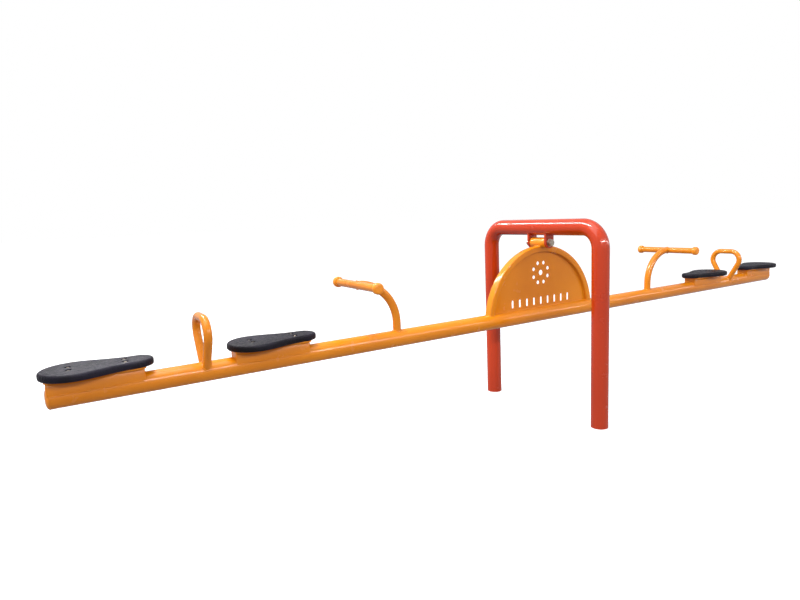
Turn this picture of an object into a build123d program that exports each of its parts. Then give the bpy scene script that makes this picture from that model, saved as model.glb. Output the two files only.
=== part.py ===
from build123d import *
import math
import os

# Four-seat playground seesaw: a beam that hangs from a pivot under a bent-tube hoop.
#
# Frame: millimetres, +Z up, +X along the level beam, +Y along the pivot axis.
# The origin is on the ground line, midway between the two posts of the hoop.
# Left and right are the two ends of the beam (-X and +X); front and back are -Y and +Y.

# ---------------------------------------------------------------- hoop frame
post_diameter = 76.1
post_wall = 3.0
post_spacing = 712.0
post_buried_length = 400.0
crossbar_height = 895.0
hoop_bend_radius = 95.0

# ---------------------------------------------------------------- pivot
hub_top_gap = 9.95
hub_bite = 10.0
hub_diameter = 50.0
hub_length = 94.0
bush_wall = 5.0
bush_length = 32.0
bush_flange_diameter = 44.0
bush_flange_thickness = 3.0
pivot_bolt_diameter = 20.0
running_clearance = 0.05
side_play = 0.5
cheek_thickness = 10.0
cheek_width = 54.0
bolt_hole_clearance = 0.25
pivot_head_flats = 30.0
pivot_head_height = 12.5
pivot_nut_height = 16.0
pivot_washer_diameter = 37.0
pivot_washer_thickness = 3.0
pivot_thread_projection = 6.0
thread_clearance = 0.1
hex_chamfer = 1.2

# ---------------------------------------------------------------- beam and arch
beam_diameter = 70.0
beam_wall = 3.0
beam_length = 4160.0
beam_drop = 420.0
beam_cap_bulge = 12.0
arch_centre_drop = 9.0
rim_depth = 30.0
rim_width = 38.0
rim_wall = 2.5
rim_corner_radius = 6.0
arch_plate_thickness = 4.0
rosette_above_slots = 136.0
rosette_centre_radius = 13.0
rosette_ring_radius = 50.0
rosette_hole_radius = 9.0
rosette_hole_count = 8
slot_row_above_beam = 31.0
slot_count = 9
slot_pitch = 46.0
slot_length = 38.0
slot_width = 13.0

# ---------------------------------------------------------------- T-shaped grips
grip_to_inner_seat_nose = 192.0
grip_post_diameter = 33.7
grip_post_wall = 2.6
grip_post_bend_radius = 172.0
grip_post_lead = 4.0
grip_height = 241.0
grip_bar_diameter = 32.0
grip_bar_wall = 2.6
grip_overall_length = 364.0
knob_diameter = 44.0
knob_length = 24.0
knob_end_thickness = 6.0
knob_outer_fillet = 9.0
knob_inner_fillet = 5.0
knob_fit_clearance = 0.2

# ---------------------------------------------------------------- loop handles
loop_behind_inner_seat = 82.0
loop_tube_diameter = 29.0
loop_tube_wall = 2.0
loop_height = 171.0
loop_corner_radius = 52.0
loop_corner_half_width = 119.0
loop_foot_half_width = 25.0

# ---------------------------------------------------------------- seats
seat_length = 333.0
seat_rear_radius = 98.0
seat_nose_radius = 54.0
seat_waist_half_width = 61.0
seat_waist_share = 0.2983
seat_shoulder_half_width = 80.0
seat_shoulder_share = 0.6022
seat_thickness = 24.5
seat_top_fillet = 9.0
seat_bottom_fillet = 7.0
outer_seat_overhang = 13.0
seat_pitch = 577.0
seat_plate_width = 96.0
seat_plate_thickness = 5.0
seat_plate_corner = 14.0
seat_plate_nose_inset = 30.0
seat_plate_rear_inset = 15.0
saddle_end_inset = 4.0
saddle_width = 66.0
saddle_wall = 4.0
saddle_rise = 19.5

# ---------------------------------------------------------------- seat fasteners
seat_bolt_diameter = 8.0
seat_bolt_end_inset = 64.0
seat_bolt_spacing_y = 42.0
seat_bolt_rear_shift = -6.0
seat_bolt_head_diameter = 14.0
seat_bolt_head_height = 4.4
seat_bolt_socket_flats = 5.0
seat_bolt_socket_depth = 2.4
seat_recess_diameter = 21.0
seat_recess_depth = 7.0
seat_washer_diameter = 16.0
seat_washer_thickness = 1.6
seat_nut_flats = 13.0
seat_nut_height = 6.8
seat_joint_clearance = 0.3
seat_thread_projection = 2.0

# ---------------------------------------------------------------- derived places
post_radius = post_diameter / 2
beam_radius = beam_diameter / 2
hub_radius = hub_diameter / 2
pivot_height = crossbar_height - post_radius - hub_top_gap - hub_radius
beam_height = crossbar_height - beam_drop
beam_top = beam_height + beam_radius
arch_centre_height = beam_height - arch_centre_drop
arch_outer_radius = pivot_height - hub_radius + hub_bite - arch_centre_height
slot_row_height = beam_top + slot_row_above_beam
rosette_height = slot_row_height + rosette_above_slots
bush_radius = pivot_bolt_diameter / 2 + running_clearance + bush_wall
cheek_inner_y = hub_length / 2 + bush_flange_thickness + side_play
cheek_outer_y = cheek_inner_y + cheek_thickness
washer_outer_y = cheek_outer_y + pivot_washer_thickness
outer_seat_station = beam_length / 2 + beam_cap_bulge + outer_seat_overhang
inner_seat_station = outer_seat_station - seat_pitch
loop_station = inner_seat_station + loop_behind_inner_seat
grip_station = inner_seat_station - seat_length - grip_to_inner_seat_nose
grip_post_station = grip_station - grip_post_lead - grip_post_bend_radius
grip_axis_height = beam_height + grip_height
seat_plate_bottom = beam_top + saddle_rise
seat_plate_top = seat_plate_bottom + seat_plate_thickness
saddle_roof_bottom = seat_plate_bottom - saddle_wall
seat_top = seat_plate_top + seat_thickness
seat_recess_floor = seat_top - seat_recess_depth
seat_plate_length = seat_length - seat_plate_nose_inset - seat_plate_rear_inset
seat_plate_middle = seat_plate_nose_inset + seat_plate_length / 2
saddle_length = seat_plate_length - 2 * saddle_end_inset
seat_bolt_spacing_x = seat_plate_length - 2 * seat_bolt_end_inset

ALONG_X = Rot(0, 90, 0)
ALONG_Y = Rot(90, 0, 0)


def rod_x(radius, length, height):
    """Solid rod along X, centred over the origin at a height."""
    return Pos(0, 0, height) * ALONG_X * Cylinder(radius, length)


def rod_y(radius, length, x, height, y=0.0):
    """Solid rod along Y, centred on a point."""
    return Pos(x, y, height) * ALONG_Y * Cylinder(radius, length)


def tube_along(path, diameter, wall):
    """Round tube swept along a path of straight runs and arcs."""
    start = Plane(origin=path @ 0, z_dir=path % 0)
    section = start * (Circle(diameter / 2) - Circle(diameter / 2 - wall))
    return sweep(section, path=path)


def hex_prism(flats, height):
    """Hexagon prism standing on the XY plane with lightly chamfered corners at both ends."""
    blank = extrude(RegularPolygon(flats / 2, 6, major_radius=False), height)
    turned = Pos(0, 0, height / 2) * Cylinder(flats / 2 / math.cos(math.pi / 6), height)
    turned = chamfer(turned.edges(), hex_chamfer)
    return blank & turned


# ---------------------------------------------------------------- frame pieces
def make_hoop_frame():
    """One bent tube: two posts and the crossbar, with the posts running on below the ground."""
    half = post_spacing / 2
    path = FilletPolyline(
        (0, -half, -post_buried_length),
        (0, -half, crossbar_height),
        (0, 0, crossbar_height),
        radius=hoop_bend_radius,
    )
    front = tube_along(path, post_diameter, post_wall)
    return front + mirror(front, about=Plane.XZ)


def make_cheek_plate(side):
    """Hanging plate with a round lower end, coped to the underside of the crossbar."""
    middle_y = side * (cheek_inner_y + cheek_thickness / 2)
    drop = crossbar_height - pivot_height
    web = Pos(0, middle_y, pivot_height + drop / 2) * Box(cheek_width, cheek_thickness, drop)
    eye = rod_y(cheek_width / 2, cheek_thickness, 0, pivot_height, middle_y)
    hole_radius = pivot_bolt_diameter / 2 + bolt_hole_clearance
    hole = rod_y(hole_radius, cheek_thickness * 2, 0, pivot_height, middle_y)
    crossbar = rod_y(post_radius, post_spacing, 0, crossbar_height)
    return web + eye - hole - crossbar


def make_pivot_bolt():
    """Hexagon-head bolt that the beam swings on, put in from the front."""
    shank_end = washer_outer_y + pivot_nut_height + pivot_thread_projection
    shank_length = washer_outer_y + shank_end
    shank = Cylinder(pivot_bolt_diameter / 2, shank_length, align=(Align.CENTER, Align.CENTER, Align.MIN))
    shank = chamfer(shank.edges().sort_by(Axis.Z)[-1], hex_chamfer)
    head = Pos(0, 0, -pivot_head_height) * hex_prism(pivot_head_flats, pivot_head_height)
    return Pos(0, -washer_outer_y, pivot_height) * Rot(-90, 0, 0) * (shank + head)


def make_pivot_nut():
    """Hexagon nut on the back end of the pivot bolt."""
    blank = hex_prism(pivot_head_flats, pivot_nut_height)
    bore = Cylinder(pivot_bolt_diameter / 2 + thread_clearance, pivot_nut_height * 3)
    return Pos(0, washer_outer_y, pivot_height) * Rot(-90, 0, 0) * (blank - bore)


def make_pivot_washers():
    """Flat washers under the bolt head and under the nut."""
    ring = Cylinder(pivot_washer_diameter / 2, pivot_washer_thickness)
    ring -= Cylinder(pivot_bolt_diameter / 2 + bolt_hole_clearance, pivot_washer_thickness * 2)
    middle_y = cheek_outer_y + pivot_washer_thickness / 2
    return [Pos(0, side * middle_y, pivot_height) * ALONG_Y * ring for side in (-1, 1)]


# ---------------------------------------------------------------- beam and arch pieces
def make_beam_tube():
    """Straight round tube that carries everything that rocks."""
    return rod_x(beam_radius, beam_length, beam_height) - rod_x(
        beam_radius - beam_wall, beam_length * 1.1, beam_height
    )


def make_beam_cap(side):
    """Dished cap that closes one end of the beam: a slice of a hollow ball."""
    ball_radius = (beam_radius**2 + beam_cap_bulge**2) / (2 * beam_cap_bulge)
    tip = beam_length / 2 + beam_cap_bulge
    shell = Pos(ball_radius - tip, 0, 0) * (Sphere(ball_radius) - Sphere(ball_radius - beam_wall))
    keep = Pos(-tip, 0, 0) * Box(beam_cap_bulge * 2, beam_diameter * 2, beam_diameter * 2)
    turn = Rot(0, 0, 180) if side > 0 else Rot(0, 0, 0)
    return Pos(0, 0, beam_height) * turn * (shell & keep)


def make_arch_rim():
    """Half ring of rectangular tube on top of the beam, coped to the beam and to the hub."""
    middle_radius = arch_outer_radius - rim_depth / 2
    inner_corner = rim_corner_radius - rim_wall
    profile = RectangleRounded(rim_depth, rim_width, rim_corner_radius)
    profile -= RectangleRounded(rim_depth - 2 * rim_wall, rim_width - 2 * rim_wall, inner_corner)
    section = Pos(middle_radius, 0, arch_centre_height) * profile
    axis = Axis((0, 0, arch_centre_height), (0, -1, 0))
    ring = revolve(section, axis=axis, revolution_arc=180)
    hub = rod_y(hub_radius, hub_length, 0, pivot_height)
    return ring - rod_x(beam_radius, beam_length, beam_height) - hub


def rosette_cutters():
    """Plain round holes: one in the middle and a ring of equal ones round it."""
    cutters = [rod_y(rosette_centre_radius, rim_width, 0, rosette_height)]
    for index in range(rosette_hole_count):
        angle = 2 * math.pi * (index + 0.5) / rosette_hole_count
        x = rosette_ring_radius * math.cos(angle)
        z = rosette_height + rosette_ring_radius * math.sin(angle)
        cutters.append(rod_y(rosette_hole_radius, rim_width, x, z))
    return cutters


def slot_row_cutters():
    """A level row of equal upright slots with round ends."""
    outline = Plane.XZ * SlotOverall(slot_length, slot_width, rotation=90)
    cutter = extrude(outline, rim_width / 2, both=True)
    first = -slot_pitch * (slot_count - 1) / 2
    return [Pos(first + slot_pitch * index, 0, slot_row_height) * cutter for index in range(slot_count)]


def make_arch_plate():
    """Flat half-disc web inside the rim, standing on the beam, with its plain cut-outs."""
    radius = arch_outer_radius - rim_depth
    disc = rod_y(radius, arch_plate_thickness, 0, arch_centre_height)
    upper = Pos(0, 0, arch_centre_height + radius) * Box(radius * 3, rim_width, radius * 2)
    plate = (disc & upper) - rod_x(beam_radius, beam_length, beam_height)
    for cutter in rosette_cutters() + slot_row_cutters():
        plate -= cutter
    return plate


def make_pivot_hub():
    """Thick cross tube welded into the top of the rim, bored for the bushes."""
    return rod_y(hub_radius, hub_length, 0, pivot_height) - rod_y(bush_radius, hub_length * 1.5, 0, pivot_height)


def make_pivot_bush(side):
    """Flanged plain bush pressed into one end of the hub."""
    sleeve = Cylinder(bush_radius, bush_length, align=(Align.CENTER, Align.CENTER, Align.MAX))
    flange = Cylinder(
        bush_flange_diameter / 2, bush_flange_thickness, align=(Align.CENTER, Align.CENTER, Align.MIN)
    )
    bore = Cylinder(pivot_bolt_diameter / 2 + running_clearance, bush_length * 3)
    bush = sleeve + flange - bore
    return Pos(0, side * hub_length / 2, pivot_height) * Rot(-90 * side, 0, 0) * bush


# ---------------------------------------------------------------- handles
def make_grip_post(side):
    """Tube that rises from the beam and bends outwards into the middle of the grip bar."""
    path = FilletPolyline(
        (side * grip_post_station, 0, beam_height),
        (side * grip_post_station, 0, grip_axis_height),
        (side * grip_station, 0, grip_axis_height),
        radius=grip_post_bend_radius,
    )
    post = tube_along(path, grip_post_diameter, grip_post_wall)
    bar = rod_y(grip_bar_diameter / 2, grip_overall_length, side * grip_station, grip_axis_height)
    return post - rod_x(beam_radius, beam_length, beam_height) - bar


def make_grip_bar(side):
    """Straight cross tube that one rider holds with both hands."""
    length = grip_overall_length - 2 * knob_end_thickness
    place = (side * grip_station, grip_axis_height)
    return rod_y(grip_bar_diameter / 2, length, *place) - rod_y(
        grip_bar_diameter / 2 - grip_bar_wall, length * 1.1, *place
    )


def make_grip_knob(side, hand):
    """Rounded end knob pushed over one end of a grip bar."""
    body = Cylinder(knob_diameter / 2, knob_length, align=(Align.CENTER, Align.CENTER, Align.MAX))
    rims = body.edges().sort_by(Axis.Z)
    body = fillet(rims[-1], knob_outer_fillet)
    body = fillet(body.edges().sort_by(Axis.Z)[0], knob_inner_fillet)
    socket = Pos(0, 0, -knob_end_thickness) * Cylinder(
        grip_bar_diameter / 2 + knob_fit_clearance, knob_length * 2, align=(Align.CENTER, Align.CENTER, Align.MAX)
    )
    turned = Rot(-90 * hand, 0, 0) * (body - socket)
    return Pos(side * grip_station, hand * grip_overall_length / 2, grip_axis_height) * turned


def make_loop_handle(side):
    """Closed loop of tube across the beam: two legs that spread to a round-cornered top."""
    station = side * loop_station
    top = beam_top + loop_height - loop_tube_diameter / 2
    path = FilletPolyline(
        (station, -loop_foot_half_width, beam_height),
        (station, -loop_foot_half_width, beam_top - loop_foot_drop()),
        (station, -loop_corner_half_width, top),
        (station, loop_corner_half_width, top),
        (station, loop_foot_half_width, beam_top - loop_foot_drop()),
        (station, loop_foot_half_width, beam_height),
        radius=[loop_tube_diameter / 2, loop_corner_radius, loop_corner_radius, loop_tube_diameter / 2],
    )
    loop = tube_along(path, loop_tube_diameter, loop_tube_wall)
    return loop - rod_x(beam_radius, beam_length, beam_height)


def loop_foot_drop():
    """Depth below the beam's top line at which a loop leg meets the round of the beam."""
    return beam_radius - math.sqrt(beam_radius**2 - loop_foot_half_width**2)


# ---------------------------------------------------------------- seats
def seat_outline():
    """Saddle-shaped outline with its nose at x = 0 and its round rear at x = seat_length."""
    nose_centre = seat_nose_radius
    rear_centre = seat_length - seat_rear_radius
    diagonal = math.sqrt(0.5)
    nose = ThreePointArc(
        (0, 0),
        (nose_centre - seat_nose_radius * diagonal, seat_nose_radius * diagonal),
        (nose_centre, seat_nose_radius),
    )
    flank_run = rear_centre - nose_centre
    flank = Spline(
        (nose_centre, seat_nose_radius),
        (nose_centre + seat_waist_share * flank_run, seat_waist_half_width),
        (nose_centre + seat_shoulder_share * flank_run, seat_shoulder_half_width),
        (rear_centre, seat_rear_radius),
        tangents=[(1, 0), (1, 0)],
    )
    rear = ThreePointArc(
        (rear_centre, seat_rear_radius),
        (rear_centre + seat_rear_radius * diagonal, seat_rear_radius * diagonal),
        (seat_length, 0),
    )
    half = nose + flank + rear
    return make_face(half + mirror(half, about=Plane.XZ))


def seat_bolt_places():
    """Bolt centres as distances from the nose and from the centre line."""
    places = []
    for along in (-0.5, 0.5):
        for across in (-0.5, 0.5):
            x = seat_plate_middle + seat_bolt_rear_shift + along * seat_bolt_spacing_x
            places.append((x, across * seat_bolt_spacing_y))
    return places


def on_beam(shape, side, rear_station):
    """Carry a shape drawn from the nose outwards to one seat's place, turned to its end."""
    turn = Rot(0, 0, 0) if side > 0 else Rot(0, 0, 180)
    return Pos(side * (rear_station - seat_length), 0, 0) * turn * shape


def make_seat(side, rear_station):
    """Thick moulded rubber seat with four countersunk bolt pockets."""
    pad = extrude(seat_outline(), seat_thickness)
    pad = fillet(pad.edges().group_by(Axis.Z)[-1], seat_top_fillet)
    pad = fillet(pad.edges().group_by(Axis.Z)[0], seat_bottom_fillet)
    hole_radius = seat_bolt_diameter / 2 + seat_joint_clearance
    for x, y in seat_bolt_places():
        pad -= Pos(x, y, seat_thickness / 2) * Cylinder(hole_radius, seat_thickness * 2)
        pad -= Pos(x, y, seat_thickness) * Cylinder(seat_recess_diameter / 2, seat_recess_depth * 2)
    return on_beam(Pos(0, 0, seat_plate_top) * pad, side, rear_station)


def make_seat_plate(side, rear_station):
    """Flat steel plate under a seat, as wide as the seat's nose."""
    blank = extrude(RectangleRounded(seat_plate_length, seat_plate_width, seat_plate_corner), seat_plate_thickness)
    plate = Pos(seat_plate_middle, 0, 0) * blank
    hole_radius = seat_bolt_diameter / 2 + seat_joint_clearance
    for x, y in seat_bolt_places():
        plate -= Pos(x, y, 0) * Cylinder(hole_radius, seat_plate_thickness * 3)
    return on_beam(Pos(0, 0, seat_plate_bottom) * plate, side, rear_station)


def make_seat_saddle(side, rear_station):
    """Closed-ended channel that stands on the round beam and carries the seat plate."""
    height = saddle_rise + beam_radius
    outside = Pos(seat_plate_middle, 0, seat_plate_bottom - height / 2) * Box(saddle_length, saddle_width, height)
    hollow = Pos(seat_plate_middle, 0, saddle_roof_bottom - height / 2) * Box(
        saddle_length - 2 * saddle_wall, saddle_width - 2 * saddle_wall, height
    )
    channel = outside - hollow
    hole_radius = seat_bolt_diameter / 2 + seat_joint_clearance
    for x, y in seat_bolt_places():
        channel -= Pos(x, y, seat_plate_bottom) * Cylinder(hole_radius, saddle_wall * 3)
    placed = on_beam(channel, side, rear_station)
    return placed - rod_x(beam_radius, beam_length * 2, beam_height)


def make_seat_bolts(side, rear_station):
    """Button-head bolts that pass down through a seat, its plate and the saddle's roof."""
    seat_face = seat_recess_floor + seat_washer_thickness
    tip = saddle_roof_bottom - seat_washer_thickness - seat_nut_height - seat_thread_projection
    length = seat_face - tip
    shank = Pos(0, 0, tip + length / 2) * Cylinder(seat_bolt_diameter / 2, length)
    head_radius = seat_bolt_head_diameter / 2
    ball_radius = (head_radius**2 + seat_bolt_head_height**2) / (2 * seat_bolt_head_height)
    ball = Pos(0, 0, seat_face + seat_bolt_head_height - ball_radius) * Sphere(ball_radius)
    keep = Pos(0, 0, seat_face + seat_bolt_head_height) * Box(
        seat_bolt_head_diameter * 2, seat_bolt_head_diameter * 2, seat_bolt_head_height * 2
    )
    socket_floor = seat_face + seat_bolt_head_height - seat_bolt_socket_depth
    socket = Pos(0, 0, socket_floor) * extrude(
        RegularPolygon(seat_bolt_socket_flats / 2, 6, major_radius=False), seat_bolt_head_height
    )
    bolt = shank + (ball & keep) - socket
    return [on_beam(Pos(x, y, 0) * bolt, side, rear_station) for x, y in seat_bolt_places()]


def make_seat_washers(side, rear_station):
    """Flat washers under each bolt head and above each nut."""
    ring = Cylinder(seat_washer_diameter / 2, seat_washer_thickness)
    ring -= Cylinder(seat_bolt_diameter / 2 + seat_joint_clearance, seat_washer_thickness * 2)
    upper = seat_recess_floor + seat_washer_thickness / 2
    lower = saddle_roof_bottom - seat_washer_thickness / 2
    rings = [Pos(x, y, z) * ring for x, y in seat_bolt_places() for z in (upper, lower)]
    return [on_beam(item, side, rear_station) for item in rings]


def make_seat_nuts(side, rear_station):
    """Hexagon nuts held inside a saddle, under its roof."""
    blank = extrude(RegularPolygon(seat_nut_flats / 2, 6, major_radius=False), seat_nut_height)
    blank -= Cylinder(seat_bolt_diameter / 2 + thread_clearance, seat_nut_height * 3)
    height = saddle_roof_bottom - seat_washer_thickness - seat_nut_height
    return [on_beam(Pos(x, y, height) * blank, side, rear_station) for x, y in seat_bolt_places()]


# ---------------------------------------------------------------- writing the nodes
def write_node(name, shape):
    """Write one node; a list of equal pieces becomes a group of separate solids."""
    if isinstance(shape, list):
        shape = Compound(children=[solid for piece in shape for solid in piece.solids()])
    export_step(shape, os.path.join("parts", name + ".step"))


def write_frame():
    """Write the pieces that stay still."""
    write_node("hoop_frame", make_hoop_frame())
    write_node("cheek_plate_front", make_cheek_plate(-1))
    write_node("cheek_plate_back", make_cheek_plate(1))
    write_node("pivot_bolt", make_pivot_bolt())
    write_node("pivot_nut", make_pivot_nut())
    write_node("pivot_washers", make_pivot_washers())


def write_rocker():
    """Write the beam, the arch, the hub and the handles."""
    write_node("beam_tube", make_beam_tube())
    write_node("arch_rim", make_arch_rim())
    write_node("arch_plate", make_arch_plate())
    write_node("pivot_hub", make_pivot_hub())
    for hand, hand_name in ((-1, "front"), (1, "back")):
        write_node(f"pivot_bush_{hand_name}", make_pivot_bush(hand))
    for side, side_name in ((-1, "left"), (1, "right")):
        write_node(f"beam_cap_{side_name}", make_beam_cap(side))
        write_node(f"grip_post_{side_name}", make_grip_post(side))
        write_node(f"grip_bar_{side_name}", make_grip_bar(side))
        write_node(f"loop_handle_{side_name}", make_loop_handle(side))
        for hand, hand_name in ((-1, "front"), (1, "back")):
            write_node(f"grip_knob_{side_name}_{hand_name}", make_grip_knob(side, hand))


def write_seats():
    """Write the four seats, each with its plate, saddle and fasteners."""
    stations = (("outer", outer_seat_station), ("inner", inner_seat_station))
    for side, side_name in ((-1, "left"), (1, "right")):
        for place_name, rear_station in stations:
            tail = f"{side_name}_{place_name}"
            write_node(f"seat_{tail}", make_seat(side, rear_station))
            write_node(f"seat_plate_{tail}", make_seat_plate(side, rear_station))
            write_node(f"seat_saddle_{tail}", make_seat_saddle(side, rear_station))
            write_node(f"seat_bolts_{tail}", make_seat_bolts(side, rear_station))
            write_node(f"seat_washers_{tail}", make_seat_washers(side, rear_station))
            write_node(f"seat_nuts_{tail}", make_seat_nuts(side, rear_station))


os.makedirs("parts", exist_ok=True)
write_frame()
write_rocker()
write_seats()
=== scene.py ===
"""Looks of a four-seat playground seesaw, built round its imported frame.

Everything is in metres, +Z up, +X along the level beam and +Y along the pivot axis.
The ground line is z = 0. Sizes are written in millimetres and turned to metres with MM.
"""
import logging
import math
from collections.abc import Sequence
from dataclasses import dataclass, field
from enum import Enum
from typing import Protocol

import bmesh
import bpy
import numpy as np
from mathutils import Matrix, Vector


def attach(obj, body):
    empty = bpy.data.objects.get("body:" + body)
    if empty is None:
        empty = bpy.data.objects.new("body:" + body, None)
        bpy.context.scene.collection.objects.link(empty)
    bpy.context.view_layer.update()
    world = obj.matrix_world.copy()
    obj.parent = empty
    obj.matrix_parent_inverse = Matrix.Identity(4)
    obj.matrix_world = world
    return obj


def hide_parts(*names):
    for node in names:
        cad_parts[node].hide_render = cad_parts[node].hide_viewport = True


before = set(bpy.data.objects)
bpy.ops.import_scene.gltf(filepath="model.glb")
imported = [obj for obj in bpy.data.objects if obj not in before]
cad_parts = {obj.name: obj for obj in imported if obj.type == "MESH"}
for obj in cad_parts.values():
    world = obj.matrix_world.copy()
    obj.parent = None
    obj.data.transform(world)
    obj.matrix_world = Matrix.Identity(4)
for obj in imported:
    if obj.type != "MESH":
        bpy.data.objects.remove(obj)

LOG = logging.getLogger("seesaw")
MM = 0.001
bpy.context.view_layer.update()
SIDES = {"left": -1, "right": 1}
HANDS = {"front": -1, "back": 1}
X_AXIS, Y_AXIS, Z_AXIS = np.eye(3)
Grid = np.ndarray  # points as rows x columns x 3
Socket = bpy.types.NodeSocket
PIVOT_HEIGHT = 822.0 * MM
SEAT_REARS = {"outer": 2105.0 * MM, "inner": 1528.0 * MM}  # distance from the pivot to each seat's rear
SINK = 0.8 * MM  # how far a coped tube end goes into what it is welded to
MERGE = 2e-6  # points nearer than this become one
CRISP, SOFT = 30, 80  # sharp-edge angles of turned steel and of weld beads, in degrees
TAN_30 = math.tan(math.radians(30))  # slope of the turned corners of a nut or bolt head


class Slot(Enum):
    """Material slots named by the record."""

    YELLOW = "yellow_powder_coat"
    RED = "red_powder_coat"
    RUBBER = "black_rubber"
    ZINC = "zinc_plated_steel"
    POLYMER = "bush_polymer"
    MOULDED = "yellow_moulded_plastic"


class Body(Enum):
    """The two bodies: what stands still and what rocks."""

    FRAME = "frame"
    ROCKER = "rocker"


# ---------------------------------------------------------------- finishes
def to_linear(srgb: Sequence[int]) -> tuple[float, float, float, float]:
    """Turn a 0-255 display colour into linear light.

    Args:
        srgb: Red, green and blue from 0 to 255.

    Returns:
        Linear red, green, blue and an alpha of one.
    """
    value = np.asarray(srgb, float) / 255
    linear = np.where(value <= 0.04045, value / 12.92, ((value + 0.055) / 1.055) ** 2.4)
    return (*(float(channel) for channel in linear), 1.0)


def set_stops(ramp: bpy.types.ColorRamp, stops: Sequence[tuple[float, Sequence[float]]]) -> None:
    """Give a colour ramp its stops, each a position and a linear colour."""
    while len(ramp.elements) < len(stops):
        ramp.elements.new(0.5)
    for element, (position, colour) in zip(ramp.elements, stops):
        element.position, element.color = position, colour


class NodeTree:
    """A short way to write a procedural material on object coordinates."""

    def __init__(self, name: str) -> None:
        """Make an empty material with a principled shader and object coordinates."""
        self.material = bpy.data.materials.new(name)
        self.material.use_nodes = True
        self.tree = self.material.node_tree
        self.tree.nodes.clear()
        output = self.tree.nodes.new("ShaderNodeOutputMaterial")
        self.shader = self.tree.nodes.new("ShaderNodeBsdfPrincipled")
        self.tree.links.new(self.shader.outputs["BSDF"], output.inputs["Surface"])
        self.place = self.tree.nodes.new("ShaderNodeTexCoord").outputs["Object"]

    def node(self, kind: str, **values: object) -> bpy.types.Node:
        """Add a node, setting attributes by name and unlinked sockets by title.

        Args:
            kind: Node type without its ShaderNode prefix.
            values: Attributes, or sockets with underscores for spaces.

        Returns:
            The new node.
        """
        made = self.tree.nodes.new("ShaderNode" + kind)
        for key, value in values.items():
            if hasattr(made, key):
                setattr(made, key, value)
            else:
                made.inputs[key.replace("_", " ")].default_value = value
        return made

    def link(self, source: Socket, target: Socket) -> None:
        """Join two sockets."""
        self.tree.links.new(source, target)

    def feed(self, **sources: Socket) -> None:
        """Link sockets into the shader's inputs, named with underscores for spaces."""
        for title, source in sources.items():
            self.link(source, self.shader.inputs[title.replace("_", " ")])

    def fix(self, **values: object) -> None:
        """Set constants on the shader's own inputs, named with underscores for spaces."""
        for title, value in values.items():
            self.shader.inputs[title.replace("_", " ")].default_value = value

    def noise(self, scale: float, detail: float = 3.0) -> Socket:
        """Noise value at a scale per metre."""
        made = self.node("TexNoise", Scale=scale, Detail=detail, Roughness=0.55)
        self.link(self.place, made.inputs["Vector"])
        return made.outputs["Fac"]

    def ramp(self, source: Socket, *stops: tuple[float, Sequence[float]]) -> Socket:
        """Colour ramp over a value.

        Args:
            source: The value.
            stops: Position and linear colour of each stop.

        Returns:
            The ramp's colour output.
        """
        made = self.node("ValToRGB")
        set_stops(made.color_ramp, stops)
        self.link(source, made.inputs["Fac"])
        return made.outputs["Color"]

    def span(self, source: Socket, low: float, high: float, start: float = 0.3, end: float = 0.7) -> Socket:
        """Map a value's part from start to end onto the range from low to high."""
        made = self.node("MapRange")
        for title, value in (("From Min", start), ("From Max", end), ("To Min", low), ("To Max", high)):
            made.inputs[title].default_value = value
        self.link(source, made.inputs["Value"])
        return made.outputs["Result"]

    def mix(self, factor: Socket, first: Socket, second: Sequence[float]) -> Socket:
        """Blend a colour towards a plain one by a factor."""
        made = self.node("Mix", data_type="RGBA")
        factor_in, first_in, second_in, colour_out = made.inputs[0], made.inputs[6], made.inputs[7], made.outputs[2]
        self.link(factor, factor_in)
        self.link(first, first_in)
        second_in.default_value = second
        return colour_out

    def bump(self, height: Socket, depth: float, below: Socket | None = None) -> Socket:
        """Bump of a real depth in metres, laid over another bump."""
        made = self.node("Bump", Strength=1.0, Distance=depth)
        self.link(height, made.inputs["Height"])
        if below is not None:
            self.link(below, made.inputs["Normal"])
        return made.outputs["Normal"]


@dataclass(frozen=True)
class PowderCoat:
    """Baked powder coat: orange peel, a slow drift of tone and a few dust nibs.

    Attributes:
        name: Material name.
        colour: Display colour of the body of the coat.
        gloss: Mean roughness.
        coat: Weight of the clear top gloss.
        top_gloss: Roughness of the clear top gloss.
        shine: Specular level of the coat under the top gloss.
        peel_per_metre: Scale of the orange peel.
        peel_depth: Depth of the orange peel in metres.
        shade: What the darkest drift multiplies the colour by.
        lift: What the lightest drift multiplies the colour by.
        nib: What a dust nib multiplies the colour by.
    """

    name: str
    colour: tuple[int, int, int]
    gloss: float
    coat: float
    top_gloss: float = 0.09
    shine: float = 0.26
    peel_per_metre: float = 190.0
    peel_depth: float = 0.00006
    shade: tuple[float, ...] = (0.90, 0.84, 0.80, 1)
    lift: tuple[float, ...] = (1.05, 1.10, 1.15, 1)
    nib: tuple[float, ...] = (0.7, 0.62, 0.6, 1)

    def build(self) -> bpy.types.Material:
        """Build the material."""
        make = NodeTree(self.name)
        base = np.array(to_linear(self.colour))
        darker, lighter = base * self.shade, np.minimum(base * self.lift, 1)
        drift = make.ramp(make.noise(2.3, 4), (0.34, darker), (0.66, lighter))
        nibs = make.span(make.noise(520, 1), 0, 1, 0.74, 0.80)
        make.feed(
            Base_Color=make.mix(nibs, drift, tuple(base * self.nib)),
            Roughness=make.span(make.noise(16, 5), self.gloss - 0.05, self.gloss + 0.07),
            Normal=make.bump(make.noise(self.peel_per_metre, 2), self.peel_depth),
        )
        make.fix(Coat_Weight=self.coat, Coat_Roughness=self.top_gloss, Specular_IOR_Level=self.shine)
        return make.material


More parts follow.
